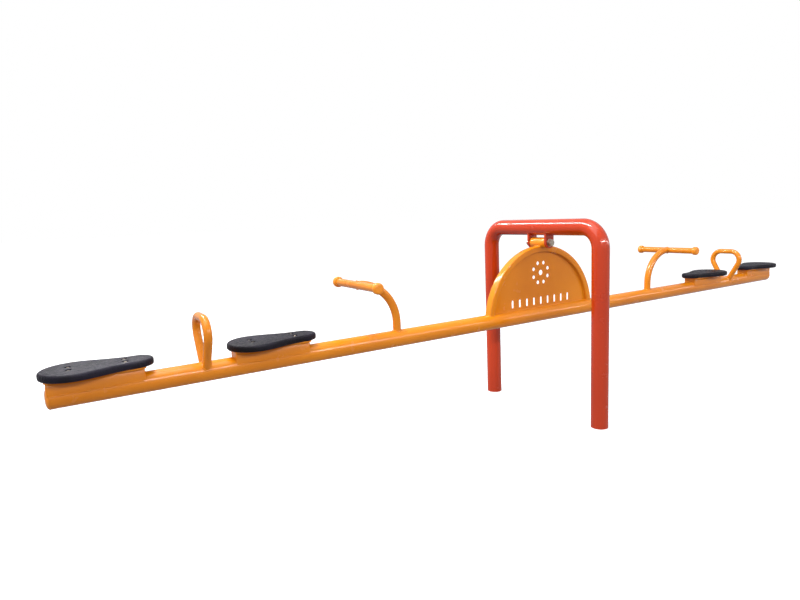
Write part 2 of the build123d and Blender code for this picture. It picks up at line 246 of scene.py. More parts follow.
@dataclass(frozen=True)
class MouldedRubber:
    """Pebbled black rubber with paler crumbs and a dull bloom.

    Attributes:
        name: Material name.
        colour: Display colour of the rubber.
        bloom: Display colour of the bloom and the crumbs.
        pebbles_per_metre: Scale of the pebbles.
        pebble_depth: Depth of the pebbles in metres.
        swell_depth: Depth of the slower unevenness in metres.
        tint: Colour of the reflection seen straight on.
        shine: Specular level.
    """

    name: str = "moulded_rubber"
    colour: tuple[int, int, int] = (7, 5, 6)
    bloom: tuple[int, int, int] = (26, 22, 36)
    pebbles_per_metre: float = 330.0
    pebble_depth: float = 0.0005
    swell_depth: float = 0.0017
    tint: tuple[float, ...] = (0.90, 0.86, 1.0, 1.0)
    shine: float = 0.24

    def build(self) -> bpy.types.Material:
        """Build the material."""
        make = NodeTree(self.name)
        base, bloom = to_linear(self.colour), to_linear(self.bloom)
        drift = make.ramp(make.noise(9, 5), (0.36, base), (0.72, bloom))
        crumbs = make.span(make.noise(260, 2), 0, 0.75, 0.60, 0.72)
        pebble = make.node("TexVoronoi", Scale=self.pebbles_per_metre, feature="SMOOTH_F1")
        make.link(make.place, pebble.inputs["Vector"])
        fine = make.bump(pebble.outputs["Distance"], self.pebble_depth)
        make.feed(
            Base_Color=make.mix(crumbs, drift, bloom),
            Roughness=make.span(make.noise(70, 4), 0.40, 0.60),
            Normal=make.bump(make.noise(120, 3), self.swell_depth, fine),
        )
        make.fix(Specular_Tint=self.tint, Specular_IOR_Level=self.shine)
        return make.material


@dataclass(frozen=True)
class ZincPlate:
    """Bright zinc plate with a faint yellow-blue drift and fine turning marks.

    Attributes:
        name: Material name.
        colour: Display colour of the plate.
        cool: What the bluest drift multiplies the colour by.
        warm: What the yellowest drift multiplies the colour by.
        mark_depth: Depth of the turning marks in metres.
    """

    name: str = "zinc_plate"
    colour: tuple[int, int, int] = (186, 174, 158)
    cool: tuple[float, ...] = (0.86, 0.88, 0.95, 1)
    warm: tuple[float, ...] = (1.08, 1.03, 0.92, 1)
    mark_depth: float = 0.00003

    def build(self) -> bpy.types.Material:
        """Build the material."""
        make = NodeTree(self.name)
        base = np.array(to_linear(self.colour))
        make.feed(
            Base_Color=make.ramp(make.noise(60, 4), (0.3, base * self.cool), (0.7, base * self.warm)),
            Roughness=make.span(make.noise(220, 3), 0.24, 0.44),
            Normal=make.bump(make.noise(900, 2), self.mark_depth),
        )
        make.fix(Metallic=1.0)
        return make.material


@dataclass(frozen=True)
class Moulding:
    """Moulded plastic with a fine satin grain.

    Attributes:
        name: Material name.
        colour: Display colour of the plastic.
        roughness: Mean roughness.
        shade: What the darkest drift multiplies the colour by.
        lift: What the lightest drift multiplies the colour by.
        grain_depth: Depth of the grain in metres.
    """

    name: str
    colour: tuple[int, int, int]
    roughness: float
    shade: tuple[float, ...] = (0.92, 0.9, 0.88, 1)
    lift: float = 1.05
    grain_depth: float = 0.00004

    def build(self) -> bpy.types.Material:
        """Build the material."""
        make = NodeTree(self.name)
        base = np.array(to_linear(self.colour))
        lighter = np.minimum(base * self.lift, 1)
        make.feed(
            Base_Color=make.ramp(make.noise(40, 3), (0.35, base * self.shade), (0.65, lighter)),
            Roughness=make.span(make.noise(90, 3), self.roughness - 0.05, self.roughness + 0.06),
            Normal=make.bump(make.noise(800, 2), self.grain_depth),
        )
        return make.material


@dataclass
class Finishes:
    """One material for each slot of the record."""

    materials: dict[Slot, bpy.types.Material] = field(default_factory=dict)

    def __post_init__(self) -> None:
        """Build every finish once."""
        self.materials = {
            Slot.YELLOW: PowderCoat("yellow_powder_coat_finish", (216, 127, 12), 0.22, 0.50, 0.07).build(),
            Slot.RED: PowderCoat("red_powder_coat_finish", (180, 51, 9), 0.22, 0.7, 0.05).build(),
            Slot.RUBBER: MouldedRubber().build(),
            Slot.ZINC: ZincPlate().build(),
            Slot.POLYMER: Moulding("bush_polymer_finish", (58, 60, 62), 0.42).build(),
            Slot.MOULDED: Moulding("yellow_moulding_finish", (224, 134, 24), 0.34).build(),
        }

    def __getitem__(self, slot: Slot) -> bpy.types.Material:
        """The material of a slot."""
        return self.materials[slot]


# ---------------------------------------------------------------- surfaces
def circle(radius: float | np.ndarray, count: int) -> np.ndarray:
    """Points round a circle: (r cos a, r sin a) for equal steps of a, the last one open."""
    angle = np.linspace(0, 2 * np.pi, count, endpoint=False)
    return np.stack([radius * np.cos(angle), radius * np.sin(angle)], -1)


def hexagon(flats: float, count: int) -> np.ndarray:
    """Points round a hexagon: the radius is half the flats over the cosine of the angle from the flat's middle."""
    angle = np.linspace(0, 2 * np.pi, count, endpoint=False)
    return circle(flats / 2 / np.cos((angle + np.pi / 6) % (np.pi / 3) - np.pi / 6), count)


def rounded_rectangle(length: float, width: float, corner: float, per_corner: int = 8) -> np.ndarray:
    """Rectangle with round corners: four quarter circles about the inset corners, joined by straight sides."""
    angle = np.linspace(0, np.pi / 2, per_corner)
    turns = np.arange(4)[:, None] * np.pi / 2 + angle
    centres = np.array([[1, 1], [-1, 1], [-1, -1], [1, -1]]) * [length / 2 - corner, width / 2 - corner]
    arcs = centres[:, None, :] + corner * np.stack([np.cos(turns), np.sin(turns)], -1)
    return arcs.reshape(-1, 2)


def clamped_cubic(knots: np.ndarray, heights: np.ndarray, at: np.ndarray) -> np.ndarray:
    """Smooth curve through a few points that is level at both ends.

    The slope at each inner point is found so that neighbouring cubics share one curvature there;
    each cubic is then the Hermite blend of its two heights and two slopes.

    Args:
        knots: Rising positions.
        heights: Height at each position.
        at: Where the curve is wanted.

    Returns:
        The heights there.
    """
    gaps, rises = np.diff(knots), np.diff(heights)
    count = len(knots)
    matrix, right = np.eye(count), np.zeros(count)
    inner = np.arange(1, count - 1)
    matrix[inner, inner - 1] = 1 / gaps[:-1]
    matrix[inner, inner] = 2 / gaps[:-1] + 2 / gaps[1:]
    matrix[inner, inner + 1] = 1 / gaps[1:]
    right[inner] = 3 * (rises[:-1] / gaps[:-1] ** 2 + rises[1:] / gaps[1:] ** 2)
    slopes = np.linalg.solve(matrix, right)
    index = np.clip(np.searchsorted(knots, at) - 1, 0, count - 2)
    gap = gaps[index]
    t = (at - knots[index]) / gap
    start, end = heights[index], heights[index + 1]
    return (
        start * (2 * t**3 - 3 * t**2 + 1)
        + end * (3 * t**2 - 2 * t**3)
        + gap * slopes[index] * (t**3 - 2 * t**2 + t)
        + gap * slopes[index + 1] * (t**3 - t**2)
    )


@dataclass
class Path:
    """A flat path: its points, its unit direction at each, and the axis square to its plane.

    Attributes:
        points: Places along the path.
        along: Unit direction at each place.
        side: Unit axis square to the path's plane.
    """

    points: np.ndarray
    along: np.ndarray
    side: np.ndarray

    @classmethod
    def bent(cls, corners: Sequence[Sequence[float]], radius: float, side: np.ndarray, steps: int) -> "Path":
        """Straight runs joined by arcs, as a tube bender makes them.

        Each arc touches both runs at R tan(a / 2) from the corner, where a is the turn, and
        its point at angle k is the centre minus R n cos k plus R d sin k.

        Args:
            corners: Corner points from start to end.
            radius: Bend radius at every inner corner.
            side: Axis square to the plane of the corners.
            steps: Places along each bend.

        Returns:
            The path.
        """
        corners = np.asarray(corners, float)
        runs = np.diff(corners, axis=0)
        runs /= np.linalg.norm(runs, axis=1, keepdims=True)
        points, along = [corners[:1]], [runs[:1]]
        for corner, before, after in zip(corners[1:-1], runs[:-1], runs[1:]):
            turn = math.acos(float(np.clip(before @ after, -1, 1)))
            inward = after - before * float(before @ after)
            inward /= np.linalg.norm(inward)
            first = corner - before * radius * math.tan(turn / 2)
            angle = np.linspace(0, turn, steps)[:, None]
            points.append(first + radius * (inward * (1 - np.cos(angle)) + before * np.sin(angle)))
            along.append(before * np.cos(angle) + inward * np.sin(angle))
        points.append(corners[-1:])
        along.append(runs[-1:])
        return cls(np.concatenate(points), np.concatenate(along), np.asarray(side, float))

    def carry(self, outline: np.ndarray) -> Grid:
        """Carry an outline along the path: place + first number times (side x along) + second times side."""
        across = np.cross(self.side, self.along)
        outline = np.broadcast_to(outline, (len(self.points), *outline.shape[-2:]))
        return self.points[:, None] + outline[..., :1] * across[:, None] + outline[..., 1:] * self.side


def close_up(mesh: bpy.types.Mesh, drop_shrunk: bool) -> None:
    """Join doubled points and turn every face outwards.

    Args:
        mesh: The mesh to change.
        drop_shrunk: Also drop faces that have shrunk to nothing.
    """
    work = bmesh.new()
    work.from_mesh(mesh)
    bmesh.ops.remove_doubles(work, verts=work.verts, dist=MERGE)
    if drop_shrunk:
        bmesh.ops.dissolve_degenerate(work, edges=work.edges, dist=MERGE / 20)
    bmesh.ops.recalc_face_normals(work, faces=work.faces)
    work.to_mesh(mesh)
    work.free()


class Skin:
    """Closed grids gathered into one mesh."""

    def __init__(self) -> None:
        """Start with nothing."""
        self.points: list[np.ndarray] = []
        self.quads: list[np.ndarray] = []
        self.count = 0

    def add(self, grid: Grid, close_rows: bool = False, close_columns: bool = True) -> "Skin":
        """Add a grid of points joined by quads between neighbouring rows and columns.

        Args:
            grid: Points as rows x columns x 3.
            close_rows: Join the last row to the first.
            close_columns: Join the last column to the first.

        Returns:
            The skin itself.
        """
        rows, columns = grid.shape[:2]
        row, column = np.meshgrid(
            np.arange(rows if close_rows else rows - 1),
            np.arange(columns if close_columns else columns - 1),
            indexing="ij",
        )
        next_row, next_column = (row + 1) % rows, (column + 1) % columns
        here, there = row * columns, next_row * columns
        quads = np.stack([here + column, here + next_column, there + next_column, there + column], -1)
        self.points.append(grid.reshape(-1, 3))
        self.quads.append(quads.reshape(-1, 4) + self.count)
        self.count += rows * columns
        return self

    def wall(self, outer: Grid, inner: Grid) -> "Skin":
        """Add a closed wall: down its outer face, over the end and back up its inner face."""
        return self.add(np.concatenate([outer, inner[::-1]]), close_rows=True)

    def mesh(self, name: str, sharp_degrees: float) -> bpy.types.Mesh:
        """Make one mesh of the grids, smooth but for its sharp edges.

        Args:
            name: Mesh name.
            sharp_degrees: Edges that turn by more than this stay sharp.

        Returns:
            The mesh.
        """
        mesh = bpy.data.meshes.new(name)
        mesh.from_pydata(np.concatenate(self.points), [], np.concatenate(self.quads))
        close_up(mesh, drop_shrunk=True)
        mesh.polygons.foreach_set("use_smooth", np.ones(len(mesh.polygons), bool))
        mesh.set_sharp_from_angle(angle=math.radians(sharp_degrees))
        return mesh


@dataclass
class Workshop:
    """Turns skins into finished pieces that ride on a body."""

    finishes: Finishes

    def piece(
        self, name: str, skin: Skin, body: Body, slot: Slot, *replaces: str, sharp_degrees: float = 40
    ) -> bpy.types.Object:
        """Make one piece from a skin.

        Args:
            name: Object name.
            skin: Its closed grids.
            body: The body it moves with.
            slot: Its finish.
            replaces: The CAD nodes it stands for, if any.
            sharp_degrees: Edges that turn by more than this stay sharp.

        Returns:
            The object.
        """
        return self.dress(bpy.data.objects.new(name, skin.mesh(name, sharp_degrees)), body, slot, *replaces)

    def beads(self, name: str, skin: Skin, body: Body, slot: Slot) -> bpy.types.Object:
        """Make a piece of weld beads, soft all over; it replaces nothing."""
        return self.piece(name, skin, body, slot, sharp_degrees=SOFT)

    def dress(self, item: bpy.types.Object, body: Body, slot: Slot, *replaces: str) -> bpy.types.Object:
        """Give an object its finish, its body and the nodes it replaces."""
        if item.name not in bpy.context.scene.collection.objects:
            bpy.context.scene.collection.objects.link(item)
        item.data.materials.clear()
        item.data.materials.append(self.finishes[slot])
        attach(item, body.value)
        if replaces:
            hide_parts(*replaces)
        LOG.info("%s: %d faces on %s, %s", item.name, len(item.data.polygons), body.value, slot.value)
        return item


def stacked(
    outlines: Sequence[np.ndarray], heights: Sequence[float], centre: Sequence[float], axis: np.ndarray
) -> Grid:
    """Stack outlines of equal count along an axis: place = centre + outline across + height along."""
    first = np.cross(axis, X_AXIS if abs(axis[0]) < 0.5 else Y_AXIS)
    second = np.cross(axis, first)
    layers = np.stack(outlines)
    across = layers[..., :1] * first + layers[..., 1:] * second
    return np.asarray(centre) + across + np.asarray(heights)[:, None, None] * axis


def lathe(profile: np.ndarray, centre: Sequence[float], axis: np.ndarray, count: int) -> Grid:
    """Turn a profile of (radius, distance along the axis) round an axis through a centre."""
    return stacked(profile[:, None, :1] * circle(1.0, count), profile[:, 1], centre, axis)


def plain_tube(
    centre: Sequence[float], axis: np.ndarray, half: float, radius: float, wall: float, rows: int, count: int
) -> Skin:
    """Straight tube with open ends: its outer and inner circles carried from -half to half along an axis."""
    along = np.linspace(-half, half, rows)
    faces = [
        lathe(np.stack([np.full(rows, reach), along], -1), centre, axis, count) for reach in (radius, radius - wall)
    ]
    return Skin().wall(*faces)


def hexagon_block(
    flats: float,
    turned: float,
    hole: float,
    low: float,
    high: float,
    centre: Sequence[float],
    axis: np.ndarray,
    count: int,
) -> Grid:
    """Hexagon with turned corners, as on a nut or a bolt head: from its hole over one end and back over the other.

    Where the hexagon's radius r at some angle passes the turned circle, the end face drops by
    (r - turned) tan 30, so that the flats end in the usual curved edges.

    Args:
        flats: Width across flats.
        turned: Radius of the flat disc at each end.
        hole: Radius of the hole, or zero; with a hole, the rows close on themselves.
        low: Lower end along the axis.
        high: Upper end along the axis.
        centre: A point on the axis.
        axis: Unit axis.
        count: Points round the block.

    Returns:
        The grid.
    """
    shape = hexagon(flats, count)
    reach = np.linalg.norm(shape, axis=1, keepdims=True)
    bore, disc = shape / reach * hole, shape / reach * turned
    grid = stacked([bore, disc, shape, shape, disc, bore], [high, high, high, low, low, low], centre, axis)
    drop = (reach - turned) * TAN_30 * axis
    grid[2] -= drop
    grid[3] += drop
    return grid


def quarter(centre: Sequence[float], radius: float, start: float, end: float, steps: int = 5) -> np.ndarray:
    """Arc of a profile: centre + r (cos a, sin a) from a start to an end angle in degrees."""
    angle = np.radians(np.linspace(start, end, steps))
    return np.asarray(centre) + radius * np.stack([np.cos(angle), np.sin(angle)], -1)


def ring_profile(outer: float, inner: float, low: float, high: float, edge: float) -> np.ndarray:
    """Closed profile of a thick ring with rounded outer edges: up the bore, out, and down the rim."""
    return np.concatenate(
        [
            [[inner, low], [inner, high]],
            quarter((outer - edge, high - edge), edge, 90, 0),
            quarter((outer - edge, low + edge), edge, 0, -90),
        ]
    )


def onto_rod(
    points: np.ndarray, direction: np.ndarray, axis: np.ndarray, centre: np.ndarray, radius: float, near: bool
) -> np.ndarray:
    """Slide points along a direction until they lie on a round rod, as a tube's end is coped.

    With the parts across the rod's axis, (p + s d) has length R; s is the root of that quadratic
    on the wanted side, and a point whose line misses the rod stops where it passes closest.

    Args:
        points: Points to slide.
        direction: The direction of the tube at its end.
        axis: The rod's axis.
        centre: A point on the axis.
        radius: The rod's radius.
        near: Take the root met first, else the root met last.

    Returns:
        The points on the rod.
    """
    across = np.eye(3) - np.outer(axis, axis)
    offset, travel = (points - centre) @ across, direction @ across
    square = travel @ travel
    half = offset @ travel
    room = np.maximum(half**2 - square * ((offset**2).sum(-1) - radius**2), 0)
    shift = (-half + (-1 if near else 1) * np.sqrt(room)) / square
    return points + shift[..., None] * direction


def weld_bead(
    points: np.ndarray, outward: np.ndarray, radius: float, pitch: float = 3.2 * MM, count: int = 10
) -> Grid:
    """Rippled weld bead along a closed run of points.

    A circle is carried round the run; its radius swells by a tenth at every pitch, as each pool
    of the weld did, and wanders a little with two slow waves so that no two stretches match.

    Args:
        points: Closed run, the last point not repeated.
        outward: Direction away from the joint at each point.
        radius: Mean radius of the bead.
        pitch: Distance between ripples.
        count: Points round the bead.

    Returns:
        The grid, closed along rows and columns.
    """
    step = np.roll(points, -1, 0) - np.roll(points, 1, 0)
    along = step / np.linalg.norm(step, axis=1, keepdims=True)
    normal = outward - (outward * along).sum(-1, keepdims=True) * along
    normal /= np.linalg.norm(normal, axis=1, keepdims=True)
    side = np.cross(along, normal)
    length = np.linalg.norm(np.roll(points, -1, 0) - points, axis=1)
    place = np.cumsum(length) - length
    whole = length.sum()
    waves = 2 * np.pi * place / whole
    ripples = np.abs(np.sin(waves * max(1, round(whole / pitch / 2))))
    swell = radius * (1 + 0.10 * ripples + 0.05 * np.sin(waves * 3) + 0.04 * np.sin(waves * 7 + 1))
    ring = circle(1.0, count)
    return points[:, None] + swell[:, None, None] * (ring[:, :1] * normal[:, None] + ring[:, 1:] * side[:, None])


def resampled(corners: np.ndarray, step: float) -> np.ndarray:
    """Even points along a closed run of straight pieces: distance along it, interpolated per coordinate."""
    closed = np.concatenate([corners, corners[:1]])
    length = np.concatenate([[0], np.cumsum(np.linalg.norm(np.diff(closed, axis=0), axis=1))])
    count = max(12, int(length[-1] / step))
    at = np.linspace(0, length[-1], count, endpoint=False)
    return np.stack([np.interp(at, length, closed[:, axis]) for axis in range(closed.shape[1])], -1)


# ---------------------------------------------------------------- the hoop that stands still
@dataclass
class Hoop:
    """Bent-tube hoop with the two cheek plates that hang from its crossbar."""

    tube_radius: float = 38.05 * MM
    wall: float = 3.0 * MM
    post_half_spacing: float = 356.0 * MM
    crossbar_height: float = 895.0 * MM
    buried: float = 400.0 * MM
    bend_radius: float = 95.0 * MM
    bend_flattening: float = 0.018
    cheek_half_width: float = 27.0 * MM
    cheek_inner: float = 50.5 * MM
    cheek_outer: float = 60.5 * MM
    cheek_hole: float = 10.25 * MM
    pivot_height: float = PIVOT_HEIGHT
    cheek_edge: float = 0.9 * MM
    cheek_sink: float = 1.0 * MM
    weld: float = 2.4 * MM

    def tube(self) -> Skin:
        """Tube wall carried along the bent path; the bends are pressed a little flat, most at their middle."""
        half, top, foot = self.post_half_spacing, self.crossbar_height, -self.buried
        corners = [(0, -half, foot), (0, -half, top), (0, half, top), (0, half, foot)]
        path = Path.bent(corners, self.bend_radius, X_AXIS, 28)
        bend = np.clip(2 * np.abs(path.along[:, 1] * path.along[:, 2]), 0, 1)
        squeeze = np.stack([1 - self.bend_flattening * bend, np.ones(len(bend))], -1)[:, None]
        reaches = (self.tube_radius, self.tube_radius - self.wall)
        return Skin().wall(*(path.carry(circle(reach, 72) * squeeze) for reach in reaches))

    def cheek_outline(self) -> np.ndarray:
        """Outline of a cheek plate in (x, z) round its bolt hole.

        A half circle hangs below the hole; above it the sides stand square and the top follows
        the crossbar's underside, z = crossbar - sqrt(R^2 - x^2), taken a little into the tube.
        """
        half = self.cheek_half_width
        low = quarter((0, self.pivot_height), half, 0, -180, 33)[1:-1]
        across = np.linspace(-half, half, 25)
        roof = np.stack([across, self.crossbar_height - np.sqrt(self.tube_radius**2 - across**2) + self.cheek_sink], -1)
        left = np.linspace((-half, self.pivot_height), roof[0], 7)
        right = np.linspace(roof[-1], (half, self.pivot_height), 7)
        return np.concatenate([low, left[:-1], roof, right[1:]])

    def cheek(self, hand: int) -> Skin:
        """Plate between its outline and its hole: each ray from hole to outline carries one rounded-edge profile."""
        outline = self.cheek_outline()
        centre = np.array([0, self.pivot_height])
        ray = outline - centre
        reach = np.linalg.norm(ray, axis=1, keepdims=True)
        hole = centre + ray / reach * self.cheek_hole
        half, edge = (self.cheek_outer - self.cheek_inner) / 2, self.cheek_edge
        outer_round = quarter((-edge, half - edge), edge, 90, 0, 4)
        inner_round = quarter((-edge, -half + edge), edge, 0, -90, 4)
        profile = np.concatenate([[[0, -half], [0, half]], outer_round, inner_round])
        flat = np.stack([hole, hole] + [outline + ray / reach * inset for inset in profile[2:, 0]])
        depth = hand * (self.cheek_inner + half + profile[:, 1])
        grid = np.stack([flat[..., 0], np.broadcast_to(depth[:, None], flat.shape[:2]), flat[..., 1]], -1)
        return Skin().add(grid, close_rows=True)

    def cheek_welds(self) -> Skin:
        """A bead round the top of each cheek plate, lying on the crossbar's underside."""
        skin = Skin()
        width = self.cheek_half_width
        for hand in HANDS.values():
            corners = rounded_rectangle(2 * width, self.cheek_outer - self.cheek_inner, 1.5 * MM, 4)
            run = resampled(corners, 1.1 * MM)
            x, y = run[:, 0], run[:, 1] + hand * (self.cheek_inner + self.cheek_outer) / 2
            z = self.crossbar_height - np.sqrt(self.tube_radius**2 - x**2)
            outward = np.stack([x / width, np.sign(run[:, 1]), np.full(len(run), -0.4)], -1)
            skin.add(weld_bead(np.stack([x, y, z], -1), outward, self.weld), close_rows=True)
        return skin

    def build(self, shop: Workshop) -> None:
        """Make and dress the hoop's pieces."""
        shop.piece("hoop_tube", self.tube(), Body.FRAME, Slot.RED, "hoop_frame")
        for name, hand in HANDS.items():
            shop.piece(f"cheek_{name}", self.cheek(hand), Body.FRAME, Slot.RED, f"cheek_plate_{name}")
        shop.beads("cheek_weld_beads", self.cheek_welds(), Body.FRAME, Slot.RED)


@dataclass
class PivotBolt:
    """Large hexagon bolt with its nut and washers, fixed in the cheek plates."""

    height: float = PIVOT_HEIGHT
    shank: float = 10.0 * MM
    washer_outer: float = 63.5 * MM
    washer_inner: float = 60.5 * MM
    washer_radius: float = 18.5 * MM
    head_flats: float = 30.0 * MM
    head_height: float = 12.5 * MM
    nut_height: float = 16.0 * MM
    projection: float = 6.0 * MM
    thread_pitch: float = 2.5 * MM
    thread_depth: float = 0.9 * MM
    thread_start: float = 4.0 * MM
    tip_taper: float = 1.2 * MM
    turned_share: float = 0.955
    count: int = 96

    def bolt(self) -> Skin:
        """Head, plain shank and threaded end; the thread is r = R - depth x saw(y / pitch + angle / turn)."""
        end = self.washer_outer + self.nut_height + self.projection
        start = self.washer_outer - self.thread_start
        rows = np.linspace(start, end, 90)[:, None]
        turn = np.linspace(0, 1, self.count, endpoint=False)
        saw = np.abs(((rows / self.thread_pitch + turn) % 1) * 2 - 1)
        taper = self.tip_taper * (1 - np.clip((end - rows) / self.tip_taper, 0, 1))
        radius = self.shank - self.thread_depth * saw * (rows > start) - taper
        unit = circle(1.0, self.count)
        y = np.broadcast_to(rows, radius.shape)
        body = np.stack([radius * unit[:, 0], y, self.height + radius * unit[:, 1]], -1)
        first = body[:1].copy()
        first[..., 1] = -self.washer_outer - 1 * MM
        head_centre = first * [0, 1, 0] + [0, 0, self.height]
        tail_centre = np.broadcast_to([0, end, self.height], first.shape)
        head = self.block(-self.washer_outer - self.head_height, -self.washer_outer, 0.0)
        return Skin().add(head).add(np.concatenate([head_centre, first, body, tail_centre]))

    def block(self, low: float, high: float, hole: float) -> Grid:
        """Hexagon of the bolt's key size between two distances along Y, with a hole or none."""
        turned = self.head_flats / 2 * self.turned_share
        return hexagon_block(self.head_flats, turned, hole, low, high, (0, 0, self.height), Y_AXIS, self.count)

    def nut(self) -> Skin:
        """Hexagon nut with turned corners at both ends."""
        grid = self.block(self.washer_outer, self.washer_outer + self.nut_height, self.shank + 0.1 * MM)
        return Skin().add(grid, close_rows=True)

    def washers(self) -> Skin:
        """Two flat rings with slightly rounded rims."""
        skin = Skin()
        for hand in HANDS.values():
            low, high = sorted((hand * self.washer_inner, hand * self.washer_outer))
            profile = ring_profile(self.washer_radius, self.shank + 0.25 * MM, low, high, 0.5 * MM)
            skin.add(lathe(profile, (0, 0, self.height), Y_AXIS, 72), close_rows=True)
        return skin

    def build(self, shop: Workshop) -> None:
        """Make and dress the bolt's pieces."""
        shop.piece("pivot_bolt_turned", self.bolt(), Body.FRAME, Slot.ZINC, "pivot_bolt", sharp_degrees=CRISP)
        shop.piece("pivot_nut_turned", self.nut(), Body.FRAME, Slot.ZINC, "pivot_nut", sharp_degrees=CRISP)
        shop.piece("pivot_washer_pair", self.washers(), Body.FRAME, Slot.ZINC, "pivot_washers")


# ---------------------------------------------------------------- the beam and everything on it
@dataclass
class Beam:
    """Round beam tube with its dished end caps."""

    radius: float = 35.0 * MM
    wall: float = 3.0 * MM
    half_length: float = 2080.0 * MM
    height: float = 475.0 * MM
    cap_bulge: float = 12.0 * MM
    cap_power: float = 2.6
    cap_inner_share: float = 0.75
    weld: float = 1.2 * MM
    weld_rise: float = 0.5 * MM

    @property
    def top(self) -> float:
        """Height of the beam's top line."""
        return self.height + self.radius

    @property
    def centre(self) -> np.ndarray:
        """A point on the beam's axis."""
        return np.array([0, 0, self.height])

    def cope(self, points: np.ndarray, direction: np.ndarray) -> np.ndarray:
        """Slide points along a direction onto the beam's upper side."""
        return onto_rod(points, np.asarray(direction, float), X_AXIS, self.centre, self.radius, False)

    def tube(self) -> Skin:
        """Outer circle carried along X and the inner circle back."""
        return plain_tube(self.centre, X_AXIS, self.half_length, self.radius, self.wall, 61, 96)

    def cap(self, side: int) -> Skin:
        """Dished cap: its face stands out by b (1 - (r / R)^p)^(1/2), so the rim runs round into the tube."""
        share = np.sin(np.linspace(0, np.pi / 2, 22))
        bulge = self.cap_bulge * np.sqrt(np.maximum(1 - share**self.cap_power, 0))
        outer = np.stack([self.radius * share, self.half_length + bulge], -1)
        dish = self.half_length + bulge * self.cap_inner_share - 0.2 * MM
        inner = np.stack([(self.radius - self.wall) * share, dish], -1)[::-1]
        profile = np.concatenate([outer, inner]) * [1, side]
        return Skin().add(lathe(profile, self.centre, X_AXIS, 96))

    def cap_weld(self, side: int) -> Grid:
        """Bead ring where the cap meets the tube, ground nearly flush."""
        ring = circle(self.radius - self.weld_rise, 240)
        outward = np.column_stack([np.zeros(len(ring)), ring])
        return weld_bead(outward + [side * self.half_length, 0, self.height], outward, self.weld, 3.0 * MM, 8)

    def build(self, shop: Workshop) -> None:
        """Make and dress the beam's pieces."""
        shop.piece("beam_round_tube", self.tube(), Body.ROCKER, Slot.YELLOW, "beam_tube")
        welds = Skin()
        for name, side in SIDES.items():
            shop.piece(f"dished_cap_{name}", self.cap(side), Body.ROCKER, Slot.YELLOW, f"beam_cap_{name}")
            welds.add(self.cap_weld(side), close_rows=True)
        shop.beads("cap_weld_beads", welds, Body.ROCKER, Slot.YELLOW)


